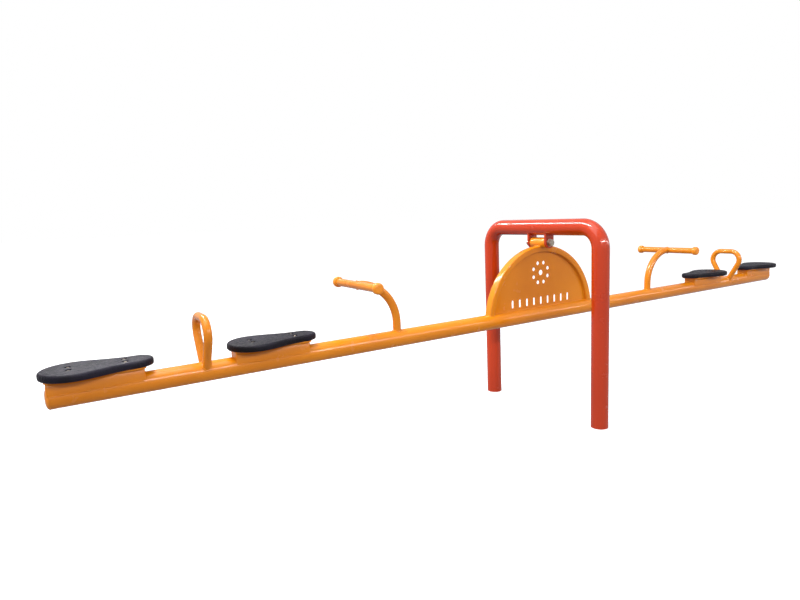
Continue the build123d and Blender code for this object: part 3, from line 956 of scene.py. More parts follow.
@dataclass
class Arch:
    """Half-disc web in a bent box-tube rim, with the hub on top."""

    beam: Beam
    centre_height: float = 466.0 * MM
    outer_radius: float = 341.0 * MM
    depth: float = 30.0 * MM
    half_width: float = 19.0 * MM
    corner: float = 6.0 * MM
    wall: float = 2.5 * MM
    plate_half: float = 2.0 * MM
    hub_radius: float = 25.0 * MM
    hub_half: float = 47.0 * MM
    bush_radius: float = 15.05 * MM
    bore: float = 10.05 * MM
    flange_radius: float = 22.0 * MM
    flange: float = 3.0 * MM
    pivot_height: float = PIVOT_HEIGHT
    rosette_height: float = 677.0 * MM
    rosette_centre: float = 13.0 * MM
    rosette_ring: float = 50.0 * MM
    rosette_hole: float = 9.0 * MM
    rosette_count: int = 8
    slot_height: float = 541.0 * MM
    slot_pitch: float = 46.0 * MM
    slot_count: int = 9
    slot_length: float = 38.0 * MM
    slot_width: float = 13.0 * MM
    plate_sink: float = 0.6 * MM
    foot_sink: float = 1.0 * MM
    plate_edge: float = 0.5 * MM
    bush_length: float = 32.0 * MM
    weld: float = 2.6 * MM
    hub_weld: float = 2.4 * MM

    @property
    def inner_radius(self) -> float:
        """Radius of the rim's inner face."""
        return self.outer_radius - self.depth

    def foot_angle(self, radius: np.ndarray, y: np.ndarray) -> np.ndarray:
        """Angle at which the rim comes down on the beam.

        It is asin((zb + sqrt(R^2 - y^2) - zc) / r): the beam's surface over the arch's centre.

        Args:
            radius: Radius r of each line of the rim.
            y: Distance of each line from the middle of the beam.

        Returns:
            The angle of each line's foot.
        """
        rise = self.beam.height + np.sqrt(np.maximum(self.beam.radius**2 - y**2, 0)) - self.centre_height
        return np.arcsin(np.clip((rise - self.foot_sink) / radius, -1, 1))

    def rim_wall(self, inset: float, steps: int) -> Grid:
        """One face of the rim's wall: a rounded rectangle swung about the arch's centre from foot to foot."""
        profile = rounded_rectangle(self.depth - 2 * inset, 2 * self.half_width - 2 * inset, self.corner - inset, 6)
        radius, y = self.outer_radius - self.depth / 2 + profile[:, 0], profile[:, 1]
        foot = self.foot_angle(radius, y)
        angle = np.linspace(foot, np.pi - foot, steps)
        z = self.centre_height + radius * np.sin(angle)
        return np.stack([radius * np.cos(angle), np.broadcast_to(y, angle.shape), z], -1)

    def rim(self) -> Skin:
        """Outer face of the box tube along the arc and its inner face back."""
        return Skin().wall(self.rim_wall(0, 161), self.rim_wall(self.wall, 161))

    def plate_outlines(self) -> list[np.ndarray]:
        """The plate's outline and its cut-outs, each a closed run of (x, z)."""
        runs = [self.web_arc(self.inner_radius + self.plate_sink, self.foot_sink, 181)]
        runs.append(circle(self.rosette_centre, 40) + [0, self.rosette_height])
        angle = 2 * np.pi * (np.arange(self.rosette_count) + 0.5) / self.rosette_count
        ring = self.rosette_ring * np.stack([np.cos(angle), np.sin(angle)], -1) + [0, self.rosette_height]
        runs += [circle(self.rosette_hole, 32) + centre for centre in ring]
        slot = rounded_rectangle(self.slot_width, self.slot_length, self.slot_width / 2 - 0.01 * MM, 12)
        first = -self.slot_pitch * (self.slot_count - 1) / 2
        runs += [slot + [first + self.slot_pitch * index, self.slot_height] for index in range(self.slot_count)]
        return runs

    def web_arc(self, radius: float, sink: float, count: int) -> np.ndarray:
        """Arc of (x, z) about the arch's centre, ending a little below the beam's top line at both feet."""
        foot = math.degrees(math.asin((self.beam.top - sink - self.centre_height) / radius))
        return quarter((0, self.centre_height), radius, foot, 180 - foot, count)

    def plate(self) -> bpy.types.Object:
        """Flat plate filled between its outline and cut-outs, given its thickness and small painted-over edges.

        It is drawn as a filled flat curve, made a mesh and stood upright; its two faces are flat shaded.

        Returns:
            The plate.
        """
        curve = bpy.data.curves.new("arch_web", "CURVE")
        curve.dimensions, curve.fill_mode = "2D", "BOTH"
        edge = self.plate_edge
        curve.extrude, curve.bevel_depth, curve.bevel_resolution, curve.offset = self.plate_half - edge, edge, 1, -edge
        for run in self.plate_outlines():
            spline = curve.splines.new("POLY")
            spline.points.add(len(run) - 1)
            spline.points.foreach_set("co", np.column_stack([run, np.zeros(len(run)), np.ones(len(run))]).ravel())
            spline.use_cyclic_u = True
        flat = bpy.data.objects.new("arch_web_curve", curve)
        bpy.context.scene.collection.objects.link(flat)
        bpy.context.view_layer.update()
        mesh = bpy.data.meshes.new_from_object(flat.evaluated_get(bpy.context.evaluated_depsgraph_get()))
        bpy.data.objects.remove(flat)
        upright = Matrix(((1, 0, 0, 0), (0, 0, -1, 0), (0, 1, 0, 0), (0, 0, 0, 1)))
        mesh.transform(upright)
        close_up(mesh, drop_shrunk=False)
        mesh.name = "arch_web"
        mesh.set_sharp_from_angle(angle=math.radians(50))
        normals = np.empty(3 * len(mesh.polygons), np.float32)
        mesh.polygons.foreach_get("normal", normals)
        mesh.polygons.foreach_set("use_smooth", np.abs(normals[1::3]) < 0.99)
        return bpy.data.objects.new("arch_web", mesh)

    def hub(self) -> Skin:
        """Thick cross tube with broken edges."""
        profile = ring_profile(self.hub_radius, self.bush_radius, -self.hub_half, self.hub_half, 1.2 * MM)
        return Skin().add(lathe(profile, (0, 0, self.pivot_height), Y_AXIS, 96), close_rows=True)

    def bush(self, hand: int) -> Skin:
        """Flanged bush: sleeve inside the hub and flange outside it."""
        face, tip, edge = self.hub_half, self.hub_half + self.flange, 0.6 * MM
        foot = face - self.bush_length
        sleeve = [[self.bore, foot], [self.bush_radius, foot], [self.bush_radius, face], [self.flange_radius, face]]
        rim = quarter((self.flange_radius - edge, tip - edge), edge, 0, 90)
        profile = np.concatenate([sleeve, rim, [[self.bore, tip]]])
        return Skin().add(lathe(profile * [1, hand], (0, 0, self.pivot_height), Y_AXIS, 72), close_rows=True)

    def welds(self) -> Skin:
        """Beads round the web on both faces, round the rim's feet and where the hub is set into the rim."""
        skin = Skin()
        x, z = resampled(self.web_arc(self.inner_radius, 0, 400), 1.6 * MM).T
        for hand in HANDS.values():
            y = np.full(len(x), hand * self.plate_half)
            outward = np.stack([-x, np.full(len(x), hand * 0.3), 0.6 - z], -1)
            skin.add(weld_bead(np.stack([x, y, z], -1), outward, self.weld, count=8), close_rows=True)
        profile = resampled(rounded_rectangle(self.depth, 2 * self.half_width, self.corner, 8), 1.1 * MM)
        reach, y = self.outer_radius - self.depth / 2 + profile[:, 0], profile[:, 1]
        angle = self.foot_angle(reach, y)
        z = self.centre_height + reach * np.sin(angle) + 0.5 * MM
        for side in SIDES.values():
            x = side * reach * np.cos(angle)
            outward = np.stack([side * profile[:, 0], y, np.zeros(len(x))], -1)
            skin.add(weld_bead(np.stack([x, y, z], -1), outward, self.weld), close_rows=True)
        lift = self.pivot_height - self.centre_height
        meet = (lift**2 + self.outer_radius**2 - self.hub_radius**2) / (2 * lift)
        half = math.sqrt(self.outer_radius**2 - meet**2)
        reach_angle = math.degrees(math.asin(half / self.hub_radius))
        bow = quarter((0, self.pivot_height), self.hub_radius, -90 - reach_angle, -90 + reach_angle, 30)
        front = np.insert(bow, 1, -self.half_width, axis=1)
        back = np.insert(bow[::-1], 1, self.half_width, axis=1)
        loop = resampled(np.concatenate([front, back]), 1.2 * MM)
        outward = loop * [2, 1, 0] - [0, 0, 4.0 * MM]
        return skin.add(weld_bead(loop, outward, self.hub_weld), close_rows=True)

    def build(self, shop: Workshop) -> None:
        """Make and dress the arch's pieces."""
        shop.piece("arch_box_rim", self.rim(), Body.ROCKER, Slot.YELLOW, "arch_rim")
        shop.dress(self.plate(), Body.ROCKER, Slot.YELLOW, "arch_plate")
        shop.piece("hub_tube", self.hub(), Body.ROCKER, Slot.YELLOW, "pivot_hub")
        shop.beads("arch_weld_beads", self.welds(), Body.ROCKER, Slot.YELLOW)
        for name, hand in HANDS.items():
            shop.piece(f"flanged_bush_{name}", self.bush(hand), Body.ROCKER, Slot.POLYMER, f"pivot_bush_{name}")


@dataclass
class Grip:
    """T-shaped grip: a bent post, a cross bar and two end knobs."""

    beam: Beam
    side: int
    name: str
    post_station: float = 827.0 * MM
    bar_station: float = 1003.0 * MM
    bar_height: float = 716.0 * MM
    post_radius: float = 16.85 * MM
    post_wall: float = 2.6 * MM
    bend_radius: float = 172.0 * MM
    bar_radius: float = 16.0 * MM
    bar_half: float = 176.0 * MM
    bar_wall: float = 2.6 * MM
    knob_radius: float = 22.0 * MM
    knob_length: float = 24.0 * MM
    knob_end: float = 182.0 * MM
    knob_outer_round: float = 9.0 * MM
    knob_inner_round: float = 5.0 * MM
    knob_end_wall: float = 6.0 * MM
    foot_weld: float = 3.0 * MM
    head_weld: float = 2.4 * MM

    @property
    def bar_centre(self) -> np.ndarray:
        """Middle of the cross bar."""
        return np.array([self.side * self.bar_station, 0, self.bar_height])

    def post(self) -> Skin:
        """Tube along a quarter bend, coped to the beam at its foot and to the bar at its head."""
        x = self.side * self.post_station
        corners = [(x, 0, self.beam.height), (x, 0, self.bar_height), tuple(self.bar_centre)]
        path = Path.bent(corners, self.bend_radius, Y_AXIS, 40)
        faces = []
        for radius in (self.post_radius, self.post_radius - self.post_wall):
            face = path.carry(circle(radius, 56))
            face[0] = self.beam.cope(face[0], Z_AXIS) - SINK * Z_AXIS
            face[-1] = self.cope_to_bar(face[-1], SINK)
            faces.append(face)
        return Skin().wall(*faces)

    def cope_to_bar(self, points: np.ndarray, sink: float) -> np.ndarray:
        """Slide points along X onto the near side of the cross bar, or a little into it."""
        return onto_rod(points, self.side * X_AXIS, Y_AXIS, self.bar_centre, self.bar_radius - sink, True)

    def bar(self) -> Skin:
        """Plain tube along Y."""
        return plain_tube(self.bar_centre, Y_AXIS, self.bar_half, self.bar_radius, self.bar_wall, 25, 56)

    def knob(self, hand: int) -> Skin:
        """Barrel-shaped knob: a slightly swelling side between a large end round and a small inner round."""
        end, start = self.knob_end, self.knob_end - self.knob_length
        big, small = self.knob_outer_round, self.knob_inner_round
        barrel = np.linspace(start + small, end - big, 6)[1:-1]
        middle = self.knob_radius - 0.25 * MM * np.linspace(-1, 1, 6)[1:-1] ** 2
        socket, depth = self.bar_radius + 0.2 * MM, end - self.knob_end_wall
        profile = np.concatenate(
            [
                [[0, end], [self.knob_radius - big - 5 * MM, end]],
                quarter((self.knob_radius - big, end - big), big, 90, 0, 9),
                np.stack([middle, barrel], -1)[::-1],
                quarter((self.knob_radius - small, start + small), small, 0, -90, 6),
                [[socket, start], [socket, depth], [0, depth]],
            ]
        )
        return Skin().add(lathe(profile * [1, hand], self.bar_centre, Y_AXIS, 56))

    def welds(self) -> Skin:
        """Beads round the post's foot on the beam and round its head on the bar."""
        ring = circle(self.post_radius, 96)
        level, upright = np.insert(ring, 2, 0, axis=1), np.insert(ring, 0, 0, axis=1)
        foot = self.beam.cope(level + [self.side * self.post_station, 0, self.beam.top], Z_AXIS)
        head = self.cope_to_bar(upright + self.bar_centre - 50 * MM * self.side * X_AXIS, 0)
        skin = Skin().add(weld_bead(foot, level, self.foot_weld), close_rows=True)
        return skin.add(weld_bead(head, upright, self.head_weld), close_rows=True)

    def build(self, shop: Workshop) -> None:
        """Make and dress the grip's pieces."""
        shop.piece(f"grip_stem_{self.name}", self.post(), Body.ROCKER, Slot.YELLOW, f"grip_post_{self.name}")
        shop.piece(f"grip_cross_tube_{self.name}", self.bar(), Body.ROCKER, Slot.YELLOW, f"grip_bar_{self.name}")
        shop.beads(f"grip_weld_beads_{self.name}", self.welds(), Body.ROCKER, Slot.YELLOW)
        for hand_name, hand in HANDS.items():
            tail = f"{self.name}_{hand_name}"
            shop.piece(f"barrel_knob_{tail}", self.knob(hand), Body.ROCKER, Slot.MOULDED, f"grip_knob_{tail}")


@dataclass
class LoopHandle:
    """Closed loop of tube that stands across the beam between two seats."""

    beam: Beam
    side: int
    name: str
    station: float = 1610.0 * MM
    tube_radius: float = 14.5 * MM
    wall: float = 2.0 * MM
    height: float = 171.0 * MM
    corner_radius: float = 52.0 * MM
    corner_half_width: float = 119.0 * MM
    foot_half_width: float = 25.0 * MM
    weld: float = 2.8 * MM

    def path(self) -> Path:
        """From one foot up a spreading leg, round the top and down the other leg."""
        x = self.side * self.station
        foot = self.beam.height + math.sqrt(self.beam.radius**2 - self.foot_half_width**2)
        top = self.beam.top + self.height - self.tube_radius
        corners = [
            (x, -self.foot_half_width, foot),
            (x, -self.corner_half_width, top),
            (x, self.corner_half_width, top),
            (x, self.foot_half_width, foot),
        ]
        return Path.bent(corners, self.corner_radius, X_AXIS, 30)

    def tube(self) -> Skin:
        """Tube along the loop, both ends coped to the beam."""
        path = self.path()
        up, down = path.along[0], path.along[-1]
        faces = []
        for radius in (self.tube_radius, self.tube_radius - self.wall):
            face = path.carry(circle(radius, 48))
            face[0] = self.beam.cope(face[0], up) - SINK * up
            face[-1] = self.beam.cope(face[-1], -down) + SINK * down
            faces.append(face)
        return Skin().wall(*faces)

    def welds(self) -> Skin:
        """A bead round each leg on the beam."""
        path, skin = self.path(), Skin()
        for place, along in ((path.points[0], path.along[0]), (path.points[-1], -path.along[-1])):
            ring = circle(self.tube_radius, 84)
            across = np.cross(X_AXIS, along)
            outward = ring[:, :1] * X_AXIS + ring[:, 1:] * across
            skin.add(weld_bead(self.beam.cope(place + outward, along), outward, self.weld), close_rows=True)
        return skin

    def build(self, shop: Workshop) -> None:
        """Make and dress the loop's pieces."""
        shop.piece(f"loop_tube_{self.name}", self.tube(), Body.ROCKER, Slot.YELLOW, f"loop_handle_{self.name}")
        shop.beads(f"loop_weld_beads_{self.name}", self.welds(), Body.ROCKER, Slot.YELLOW)


@dataclass
class Seat:
    """Moulded rubber seat on its plate and saddle, with four bolts in pockets."""

    beam: Beam
    side: int
    name: str
    rear_station: float
    length: float = 333.0 * MM
    rear_radius: float = 98.0 * MM
    nose_radius: float = 54.0 * MM
    waist: tuple[float, float] = (108.0 * MM, 61.0 * MM)
    shoulder: tuple[float, float] = (163.0 * MM, 80.0 * MM)
    floor: float = 534.5 * MM
    thickness: float = 24.5 * MM
    top_round: float = 9.0 * MM
    bottom_round: float = 7.0 * MM
    crown: float = 1.6 * MM
    bolt_stations: tuple[float, float] = (88.0 * MM, 248.0 * MM)
    bolt_half_spacing: float = 21.0 * MM
    pocket_radius: float = 9.4 * MM
    pocket_depth: float = 7.0 * MM
    pocket_lip: float = 0.5 * MM
    pocket_wall: float = 0.4 * MM
    lip_drop: float = 0.45 * MM
    plate_nose: float = 30.0 * MM
    plate_length: float = 288.0 * MM
    plate_width: float = 96.0 * MM
    plate_thickness: float = 5.0 * MM
    plate_corner: float = 14.0 * MM
    saddle_length: float = 280.0 * MM
    saddle_width: float = 66.0 * MM
    saddle_wall: float = 4.0 * MM
    saddle_corner: float = 5.0 * MM
    saddle_sink: float = 0.6 * MM
    weld: float = 1.7 * MM
    head_radius: float = 7.0 * MM
    head_rise: float = 4.4 * MM
    socket_flats: float = 5.0 * MM
    socket_depth: float = 2.4 * MM
    shank: float = 4.0 * MM
    projection: float = 2.0 * MM
    washer_radius: float = 8.0 * MM
    washer_hole: float = 4.3 * MM
    washer: float = 1.6 * MM
    nut_flats: float = 13.0 * MM
    nut_turned: float = 6.2 * MM
    nut_hole: float = 4.1 * MM
    nut_height: float = 6.8 * MM
    columns: int = 460
    top_rows: int = 46

    @property
    def plate_bottom(self) -> float:
        """Height of the plate's underside."""
        return self.floor - self.plate_thickness

    @property
    def roof(self) -> float:
        """Height of the underside of the saddle's roof, where the nuts sit."""
        return self.plate_bottom - self.saddle_wall

    @property
    def pocket_floor(self) -> float:
        """Height of the bottom of the bolt pockets."""
        return self.floor + self.thickness - self.pocket_depth

    @property
    def middle(self) -> np.ndarray:
        """Middle of the plate and of the saddle, from the nose."""
        return np.array([self.plate_nose + self.plate_length / 2, 0])

    @property
    def bolt_places(self) -> np.ndarray:
        """Bolt centres as (distance from the nose, distance from the centre line)."""
        return np.array([(x, hand * self.bolt_half_spacing) for x in self.bolt_stations for hand in (-1, 1)])

    def placed(self, grid: Grid) -> Grid:
        """Carry points drawn from the nose outwards to this seat's place: turned half round on the left."""
        nose = self.side * (self.rear_station - self.length)
        return grid * [self.side, self.side, 1] + [nose, 0, 0]

    def outline(self) -> tuple[np.ndarray, np.ndarray]:
        """Even points round the saddle shape, and the spine point that each one draws in to.

        The nose and the rear are arcs, and each flank is the level-ended cubic through the waist
        and the shoulder. A point's spine point lies on the centre line between the two arc centres.

        Returns:
            The outline and the spine points, both as (x, y).
        """
        nose, rear = self.nose_radius, self.length - self.rear_radius
        tip = quarter((nose, 0), self.nose_radius, 180, 90, 60)
        x = np.linspace(nose, rear, 160)
        knots = np.array([nose, self.waist[0], self.shoulder[0], rear])
        widths = np.array([self.nose_radius, self.waist[1], self.shoulder[1], self.rear_radius])
        flank = np.stack([x, clamped_cubic(knots, widths, x)], -1)
        heel = quarter((rear, 0), self.rear_radius, 90, 0, 90)
        half = np.concatenate([tip[:-1], flank, heel[1:]])
        whole = np.concatenate([half, half[-2:0:-1] * [1, -1]])
        even = resampled(whole, 0.5 * MM)
        index = np.linspace(0, len(even), self.columns, endpoint=False).astype(int)
        points = even[index]
        spine = np.stack([np.clip(points[:, 0], nose, rear), 0 * points[:, 1]], -1)
        return points, spine

    def pebbles(self, points: np.ndarray, rows: np.ndarray) -> np.ndarray:
        """Shallow uneven dimples of the moulding, never proud of it.

        Three waves of 37, 61 and 97 turns run round the edge, the first two also waving up it,
        and 2.5, the most that they add up to, lifts their sum to depths from zero.

        Args:
            points: Points round the edge.
            rows: Number of each ring up the edge.

        Returns:
            Depth at each ring and point.
        """
        step = np.linalg.norm(np.roll(points, -1, 0) - points, axis=1)
        turn = 2 * np.pi * (np.cumsum(step) - step) / step.sum()
        up = rows[:, None]
        wave = np.sin(37 * turn) * np.cos(1.9 * up) + 0.8 * np.sin(61 * turn + 1.3) * np.sin(1.3 * up + 0.7)
        return (wave + 0.7 * np.sin(97 * turn + 2.1) + 2.5) * 0.14 * MM

    def rubber(self) -> Skin:
        """Closed skin of the seat: rings start on the spine below, pass round the edge and close on the spine above.

        A ring's points lie at (1 - inset / reach) of the way from spine to outline, and the top is
        crowned by c exp(-inset / 20 mm) below its highest plane.
        """
        points, spine = self.outline()
        ray = points - spine
        reach = np.linalg.norm(ray, axis=1)
        low, high = self.bottom_round, self.top_round
        bottom = quarter((low, low), low, -90, -180, 7)
        upper = quarter((high, self.thickness - high), high, 180, 90, 9)
        edge = np.concatenate([bottom, upper])
        inner_low = np.linspace(1, 0, 6)[:-1]
        inner_high = np.linspace(0, 1, self.top_rows)[1:]
        inset = np.concatenate(
            [
                low + inner_low[:, None] * (reach - low),
                edge[:, :1] + 0 * reach,
                high + inner_high[:, None] * (reach - high),
            ]
        )
        height = np.concatenate([0 * inner_low, edge[:, 1], self.thickness + 0 * inner_high])
        height = np.broadcast_to(height[:, None], inset.shape).copy()
        first, last = len(inner_low), len(inner_low) + len(edge)
        fade = np.sin(np.linspace(0, np.pi, len(edge)))[:, None] ** 0.5
        inset[first:last] += self.pebbles(points, np.arange(len(edge))) * fade
        flat = spine + (1 - inset / reach)[..., None] * ray
        top = slice(last - 1, None)
        height[top] -= self.crown * np.exp(-(inset[top] - high) / (20 * MM))
        self.sink_pockets(flat[top], height[top])
        grid = np.concatenate([flat, self.floor + height[..., None]], -1)
        return Skin().add(self.placed(grid))

    def sink_pockets(self, patch: np.ndarray, height: np.ndarray) -> None:
        """Sink the bolt pockets into the top.

        Points inside a pocket's circle drop to its floor; points near its lip are drawn onto the
        foot or the edge of its wall, so that the wall is steep and round, and the lip drops a little.

        Args:
            patch: Points of the top as (x, y), changed in place.
            height: Their heights over the seat's underside, changed in place.
        """
        rim = self.pocket_radius
        lip, foot = rim + self.pocket_lip, rim - self.pocket_wall
        for centre in self.bolt_places:
            away = patch - centre
            distance = np.linalg.norm(away, axis=-1)
            outside = np.where((distance >= rim) & (distance < lip + 1.1 * MM), lip, distance)
            drawn = np.where((distance > foot - 1.0 * MM) & (distance < rim), foot, outside)
            patch += away * (drawn / np.maximum(distance, 1e-9) - 1)[..., None]
            height[drawn <= foot] = self.thickness - self.pocket_depth
            height[(drawn > foot) & (drawn < lip + 0.1 * MM)] -= self.lip_drop

    def plate(self) -> Skin:
        """Flat plate: its rounded outline drawn in to the middle below and above, with small rounded edges."""
        shape = rounded_rectangle(self.plate_length, self.plate_width, self.plate_corner, 12)
        edge = 0.8 * MM
        lower = quarter((-edge, edge), edge, -90, 0, 4)
        upper = quarter((-edge, self.plate_thickness - edge), edge, 0, 90, 4)
        rounds = np.concatenate([lower, upper])
        unit = shape / np.linalg.norm(shape, axis=1, keepdims=True)
        layers = [shape * 0, *(shape + unit * inset for inset in rounds[:, 0]), shape * 0]
        heights = np.concatenate([[0], rounds[:, 1], [self.plate_thickness]]) + self.plate_bottom
        flat = np.stack(layers) + self.middle
        grid = np.concatenate([flat, np.broadcast_to(heights[:, None, None], (*flat.shape[:2], 1))], -1)
        return Skin().add(self.placed(grid))

    def saddle_foot(self, outline: np.ndarray) -> np.ndarray:
        """Height of the beam's surface under an outline: zb + sqrt(R^2 - y^2)."""
        return self.beam.height + np.sqrt(self.beam.radius**2 - outline[:, 1] ** 2)

    def saddle(self) -> Skin:
        """Upturned tray: from the middle of its top out, down the walls to the beam, and back up inside."""
        length, width, wall = self.saddle_length, self.saddle_width, self.saddle_wall
        outer = rounded_rectangle(length, width, self.saddle_corner, 10)
        inner = rounded_rectangle(length - 2 * wall, width - 2 * wall, 1.5 * MM, 10)
        layers = [outer * 0, outer * 0.985, outer, outer, inner, inner, inner * 0]
        feet = [self.saddle_foot(shape) - self.saddle_sink for shape in (outer, inner)]
        high, level = self.plate_bottom, np.ones(len(outer))
        heights = [high * level, high * level, (high - 0.7 * MM) * level, *feet, self.roof * level, self.roof * level]
        grid = np.concatenate([np.stack(layers) + self.middle, np.stack(heights)[..., None]], -1)
        return Skin().add(self.placed(grid))

    def saddle_weld(self) -> Skin:
        """Bead round the saddle's foot on the beam."""
        corner = self.saddle_corner
        run = resampled(rounded_rectangle(self.saddle_length, self.saddle_width, corner, 10), 1.3 * MM)
        points = np.column_stack([run + self.middle, self.saddle_foot(run)])
        ends = np.sign(run[:, 0]) * (np.abs(run[:, 0]) > self.saddle_length / 2 - corner)
        outward = np.column_stack([ends, run[:, 1] / (20 * MM), np.full(len(run), 0.5)])
        return Skin().add(self.placed(weld_bead(points, outward, self.weld, count=8)), close_rows=True)

    def bolts(self) -> Skin:
        """Button-head bolts: hexagon socket, domed head, shank and plain end as stacked outlines."""
        skin, count = Skin(), 36
        face = self.pocket_floor + self.washer
        head, rise = self.head_radius, self.head_rise
        ball = (head**2 + rise**2) / (2 * rise)
        tip = self.roof - self.washer - self.nut_height - self.projection
        socket = hexagon(self.socket_flats, count)
        dome = np.linspace(3.1 * MM, head - 0.15 * MM, 8)
        dome_height = face + rise - ball + np.sqrt(ball**2 - dome**2)
        floor = face + rise - self.socket_depth
        layers = [socket * 0, socket, socket, *(circle(radius, count) for radius in (*dome, head, head))]
        heights = [floor, floor, dome_height[0] - 0.1 * MM, *dome_height, face + 0.3 * MM, face]
        layers += [circle(radius, count) for radius in (self.shank, self.shank, self.shank - 0.7 * MM, 0)]
        heights += [face, tip + 0.7 * MM, tip, tip]
        for x, y in self.bolt_places:
            skin.add(self.placed(stacked(layers, heights, (x, y, 0), Z_AXIS)))
        return skin

    def washers(self) -> Skin:
        """A flat washer in each pocket and one above each nut."""
        skin = Skin()
        for x, y in self.bolt_places:
            for low in (self.pocket_floor, self.roof - self.washer):
                profile = ring_profile(self.washer_radius, self.washer_hole, low, low + self.washer, 0.3 * MM)
                skin.add(self.placed(lathe(profile, (x, y, 0), Z_AXIS, 40)), close_rows=True)
        return skin

    def nuts(self) -> Skin:
        """Hexagon nuts with turned corners inside the saddle."""
        skin, high = Skin(), self.roof - self.washer
        low = high - self.nut_height
        for x, y in self.bolt_places:
            grid = hexagon_block(self.nut_flats, self.nut_turned, self.nut_hole, low, high, (x, y, 0), Z_AXIS, 48)
            skin.add(self.placed(grid), close_rows=True)
        return skin

    def build(self, shop: Workshop) -> None:
        """Make and dress the seat's pieces."""
        tail, body, zinc = self.name, Body.ROCKER, Slot.ZINC
        shop.piece(f"rubber_seat_{tail}", self.rubber(), body, Slot.RUBBER, f"seat_{tail}", sharp_degrees=60)
        shop.piece(f"bearer_plate_{tail}", self.plate(), body, Slot.YELLOW, f"seat_plate_{tail}")
        shop.piece(f"saddle_tray_{tail}", self.saddle(), body, Slot.YELLOW, f"seat_saddle_{tail}")
        shop.beads(f"saddle_weld_bead_{tail}", self.saddle_weld(), body, Slot.YELLOW)
        shop.piece(f"button_bolts_{tail}", self.bolts(), body, zinc, f"seat_bolts_{tail}", sharp_degrees=CRISP)
        shop.piece(f"flat_washers_{tail}", self.washers(), body, zinc, f"seat_washers_{tail}")
        shop.piece(f"hexagon_nuts_{tail}", self.nuts(), body, zinc, f"seat_nuts_{tail}", sharp_degrees=CRISP)


# ---------------------------------------------------------------- studio
Point = tuple[float, float, float]


@dataclass(frozen=True)
class Lamp:
    """Rectangular lamp.

    Attributes:
        name: Object name.
        place: Where it hangs.
        aim: The point it faces.
        size: Its length and width in metres.
        power: Its power in watts.
        across: Its length lies along Y and not along X.
        mirrored: Glossy surfaces show it.
    """

    name: str
    place: Point
    aim: Point
    size: tuple[float, float]
    power: float
    across: bool = False
    mirrored: bool = True

    def hang(self) -> None:
        """Make the lamp and turn it to its aim, its length level."""
        data = bpy.data.lights.new(self.name, "AREA")
        data.shape, data.energy = "RECTANGLE", self.power
        data.size, data.size_y = self.size
        lamp = bpy.data.objects.new(self.name, data)
        down = (Vector(self.aim) - Vector(self.place)).normalized()
        third = down.cross(Vector(Y_AXIS if self.across else X_AXIS)).normalized()
        along = third.cross(down).normalized()
        lamp.matrix_world = Matrix.Translation(self.place) @ Matrix((along, third, -down)).transposed().to_4x4()
        lamp.visible_glossy = self.mirrored
        bpy.context.scene.collection.objects.link(lamp)


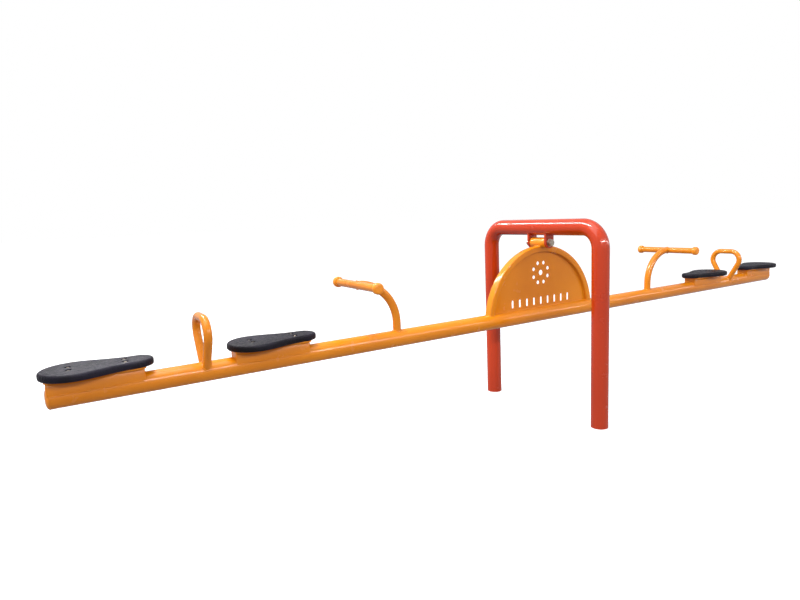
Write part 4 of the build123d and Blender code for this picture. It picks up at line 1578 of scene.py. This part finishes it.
@dataclass
class Studio:
    """Pale floor, soft white surroundings, lamps and the camera.

    Attributes:
        eye: Where the camera stands.
        lens: Its focal length in millimetres for a frame 36 mm wide.
        yaw: Its turn from +X towards +Y, in degrees.
        pitch: How far it looks down, in degrees.
        roll: How far it leans, in degrees.
        floor_half: Half the side of the floor.
        floor_grey: Grey value of the floor's finish.
        floor_glow: Strength of the floor's own light, which keeps it one pale tone out to the dome.
        world_stops: Ambient light from straight below to straight above.
        world_tint: Colour of the ambient light.
        lamps: A broad soft lamp overhead, strips that draw lines along the tubes, and a soft one from the left.
    """

    eye: Point = (-2.0507, -2.0374, 0.9865)
    lens: float = 26.157
    yaw: float = 58.58
    pitch: float = 8.4
    roll: float = -2.51
    floor_half: float = 60.0
    floor_grey: float = 0.40
    floor_glow: float = 0.80
    world_stops: tuple[tuple[float, float], ...] = ((0.0, 0.36), (0.44, 0.46), (0.54, 0.62), (0.72, 0.60), (1.0, 0.74))
    world_tint: Point = (0.99, 0.99, 1.03)
    lamps: tuple[Lamp, ...] = (
        Lamp("overhead_soft", (-1.8, -0.6, 4.5), (0, 0, 0.4), (6.0, 3.0), 105),
        Lamp("strip_along_near", (-0.5, -4.6, 2.7), (-0.5, 0, 0.5), (5.0, 0.14), 130),
        Lamp("strip_along_far", (7.3, -4.6, 2.7), (7.3, 0, 0.5), (10.6, 0.14), 120),
        Lamp("strip_across", (-1.7, 2.2, 3.6), (0, 2.2, 0.9), (5.0, 0.12), 230, across=True),
        Lamp("side_across", (-6.0, 0.5, 2.2), (0, 0, 0.6), (3.5, 1.2), 110, across=True, mirrored=False),
    )

    def camera(self) -> None:
        """Camera from its eye point and its yaw, pitch and roll."""
        yaw, pitch, roll = (math.radians(angle) for angle in (self.yaw, self.pitch, self.roll))
        forward = Vector((math.cos(pitch) * math.cos(yaw), math.cos(pitch) * math.sin(yaw), -math.sin(pitch)))
        level = Vector((math.sin(yaw), -math.cos(yaw), 0))
        upright = level.cross(forward)
        right = level * math.cos(roll) + upright * math.sin(roll)
        up = upright * math.cos(roll) - level * math.sin(roll)
        data = bpy.data.cameras.new("camera")
        data.lens, data.sensor_width, data.sensor_fit = self.lens, 36.0, "HORIZONTAL"
        data.clip_end = 300.0
        camera = bpy.data.objects.new("camera", data)
        turn = Matrix((right, up, -forward)).transposed()
        camera.matrix_world = Matrix.Translation(self.eye) @ turn.to_4x4()
        bpy.context.scene.collection.objects.link(camera)
        bpy.context.scene.camera = camera

    def stage_piece(self, name: str, mesh: bpy.types.Mesh, grey: float, glow: float) -> None:
        """Stage piece that the camera sees, and that neither lights the object nor shows in it.

        Args:
            name: Object name.
            mesh: Its mesh.
            grey: Grey value of its matt finish.
            glow: Strength of its own even light.
        """
        make = NodeTree(f"{name}_finish")
        make.fix(Base_Color=(grey, grey, grey, 1), Roughness=0.9, Specular_IOR_Level=0.0)
        make.fix(Emission_Color=(1, 1, 1, 1), Emission_Strength=glow)
        mesh.materials.append(make.material)
        item = bpy.data.objects.new(name, mesh)
        bpy.context.scene.collection.objects.link(item)
        item.visible_diffuse = item.visible_glossy = False

    def floor(self) -> None:
        """Large flat floor, and a pale dome that starts a little below it, just inside its edge."""
        half = self.floor_half
        mesh = bpy.data.meshes.new("studio_floor")
        mesh.from_pydata([(-half, -half, 0), (half, -half, 0), (half, half, 0), (-half, half, 0)], [], [(0, 1, 2, 3)])
        self.stage_piece("studio_floor", mesh, self.floor_grey, self.floor_glow)
        rise = np.linspace(-0.05, np.pi / 2, 24)
        dome = lathe(np.stack([np.cos(rise), np.sin(rise)], -1) * half * 0.95, (0, 0, 0), Z_AXIS, 64)
        self.stage_piece("studio_dome", Skin().add(dome).mesh("studio_dome", 40), 0.0, 1.0)

    def surroundings(self) -> None:
        """Ambient light by height: dim from below, brightest a little above the horizon, even overhead."""
        world = bpy.data.worlds.new("studio_world")
        world.use_nodes = True
        tree = world.node_tree
        back = tree.nodes["Background"]
        place = tree.nodes.new("ShaderNodeTexCoord")
        split = tree.nodes.new("ShaderNodeSeparateXYZ")
        span = tree.nodes.new("ShaderNodeMapRange")
        span.inputs["From Min"].default_value = -1.0
        ramp = tree.nodes.new("ShaderNodeValToRGB")
        ramp.color_ramp.interpolation = "EASE"
        tint = np.array(self.world_tint)
        set_stops(ramp.color_ramp, [(position, (*(grey * tint), 1)) for position, grey in self.world_stops])
        tree.links.new(place.outputs["Generated"], split.inputs["Vector"])
        tree.links.new(split.outputs["Z"], span.inputs["Value"])
        tree.links.new(span.outputs["Result"], ramp.inputs["Fac"])
        tree.links.new(ramp.outputs["Color"], back.inputs["Color"])
        back.inputs["Strength"].default_value = 1.0
        bpy.context.scene.world = world

    def build(self) -> None:
        """Set up the studio."""
        self.camera()
        self.floor()
        self.surroundings()
        for lamp in self.lamps:
            lamp.hang()
        bpy.context.scene.view_settings.view_transform = "Standard"
        bpy.context.scene.view_settings.look = "None"


class SubAssembly(Protocol):
    """Anything that can make and dress its own pieces."""

    def build(self, shop: Workshop) -> None:
        """Make and dress the pieces."""


def main() -> None:
    """Build every sub-assembly in order, then the studio."""
    logging.basicConfig(level=logging.INFO, format="%(name)s: %(message)s")
    shop = Workshop(Finishes())
    beam = Beam()
    parts: list[SubAssembly] = [Hoop(), PivotBolt(), beam, Arch(beam)]
    for name, side in SIDES.items():
        parts += [Grip(beam, side, name), LoopHandle(beam, side, name)]
        parts += [Seat(beam, side, f"{name}_{place}", station) for place, station in SEAT_REARS.items()]
    for part in parts:
        part.build(shop)
    Studio().build()
    LOG.info("size boxes written")


if __name__ == "__main__":
    main()
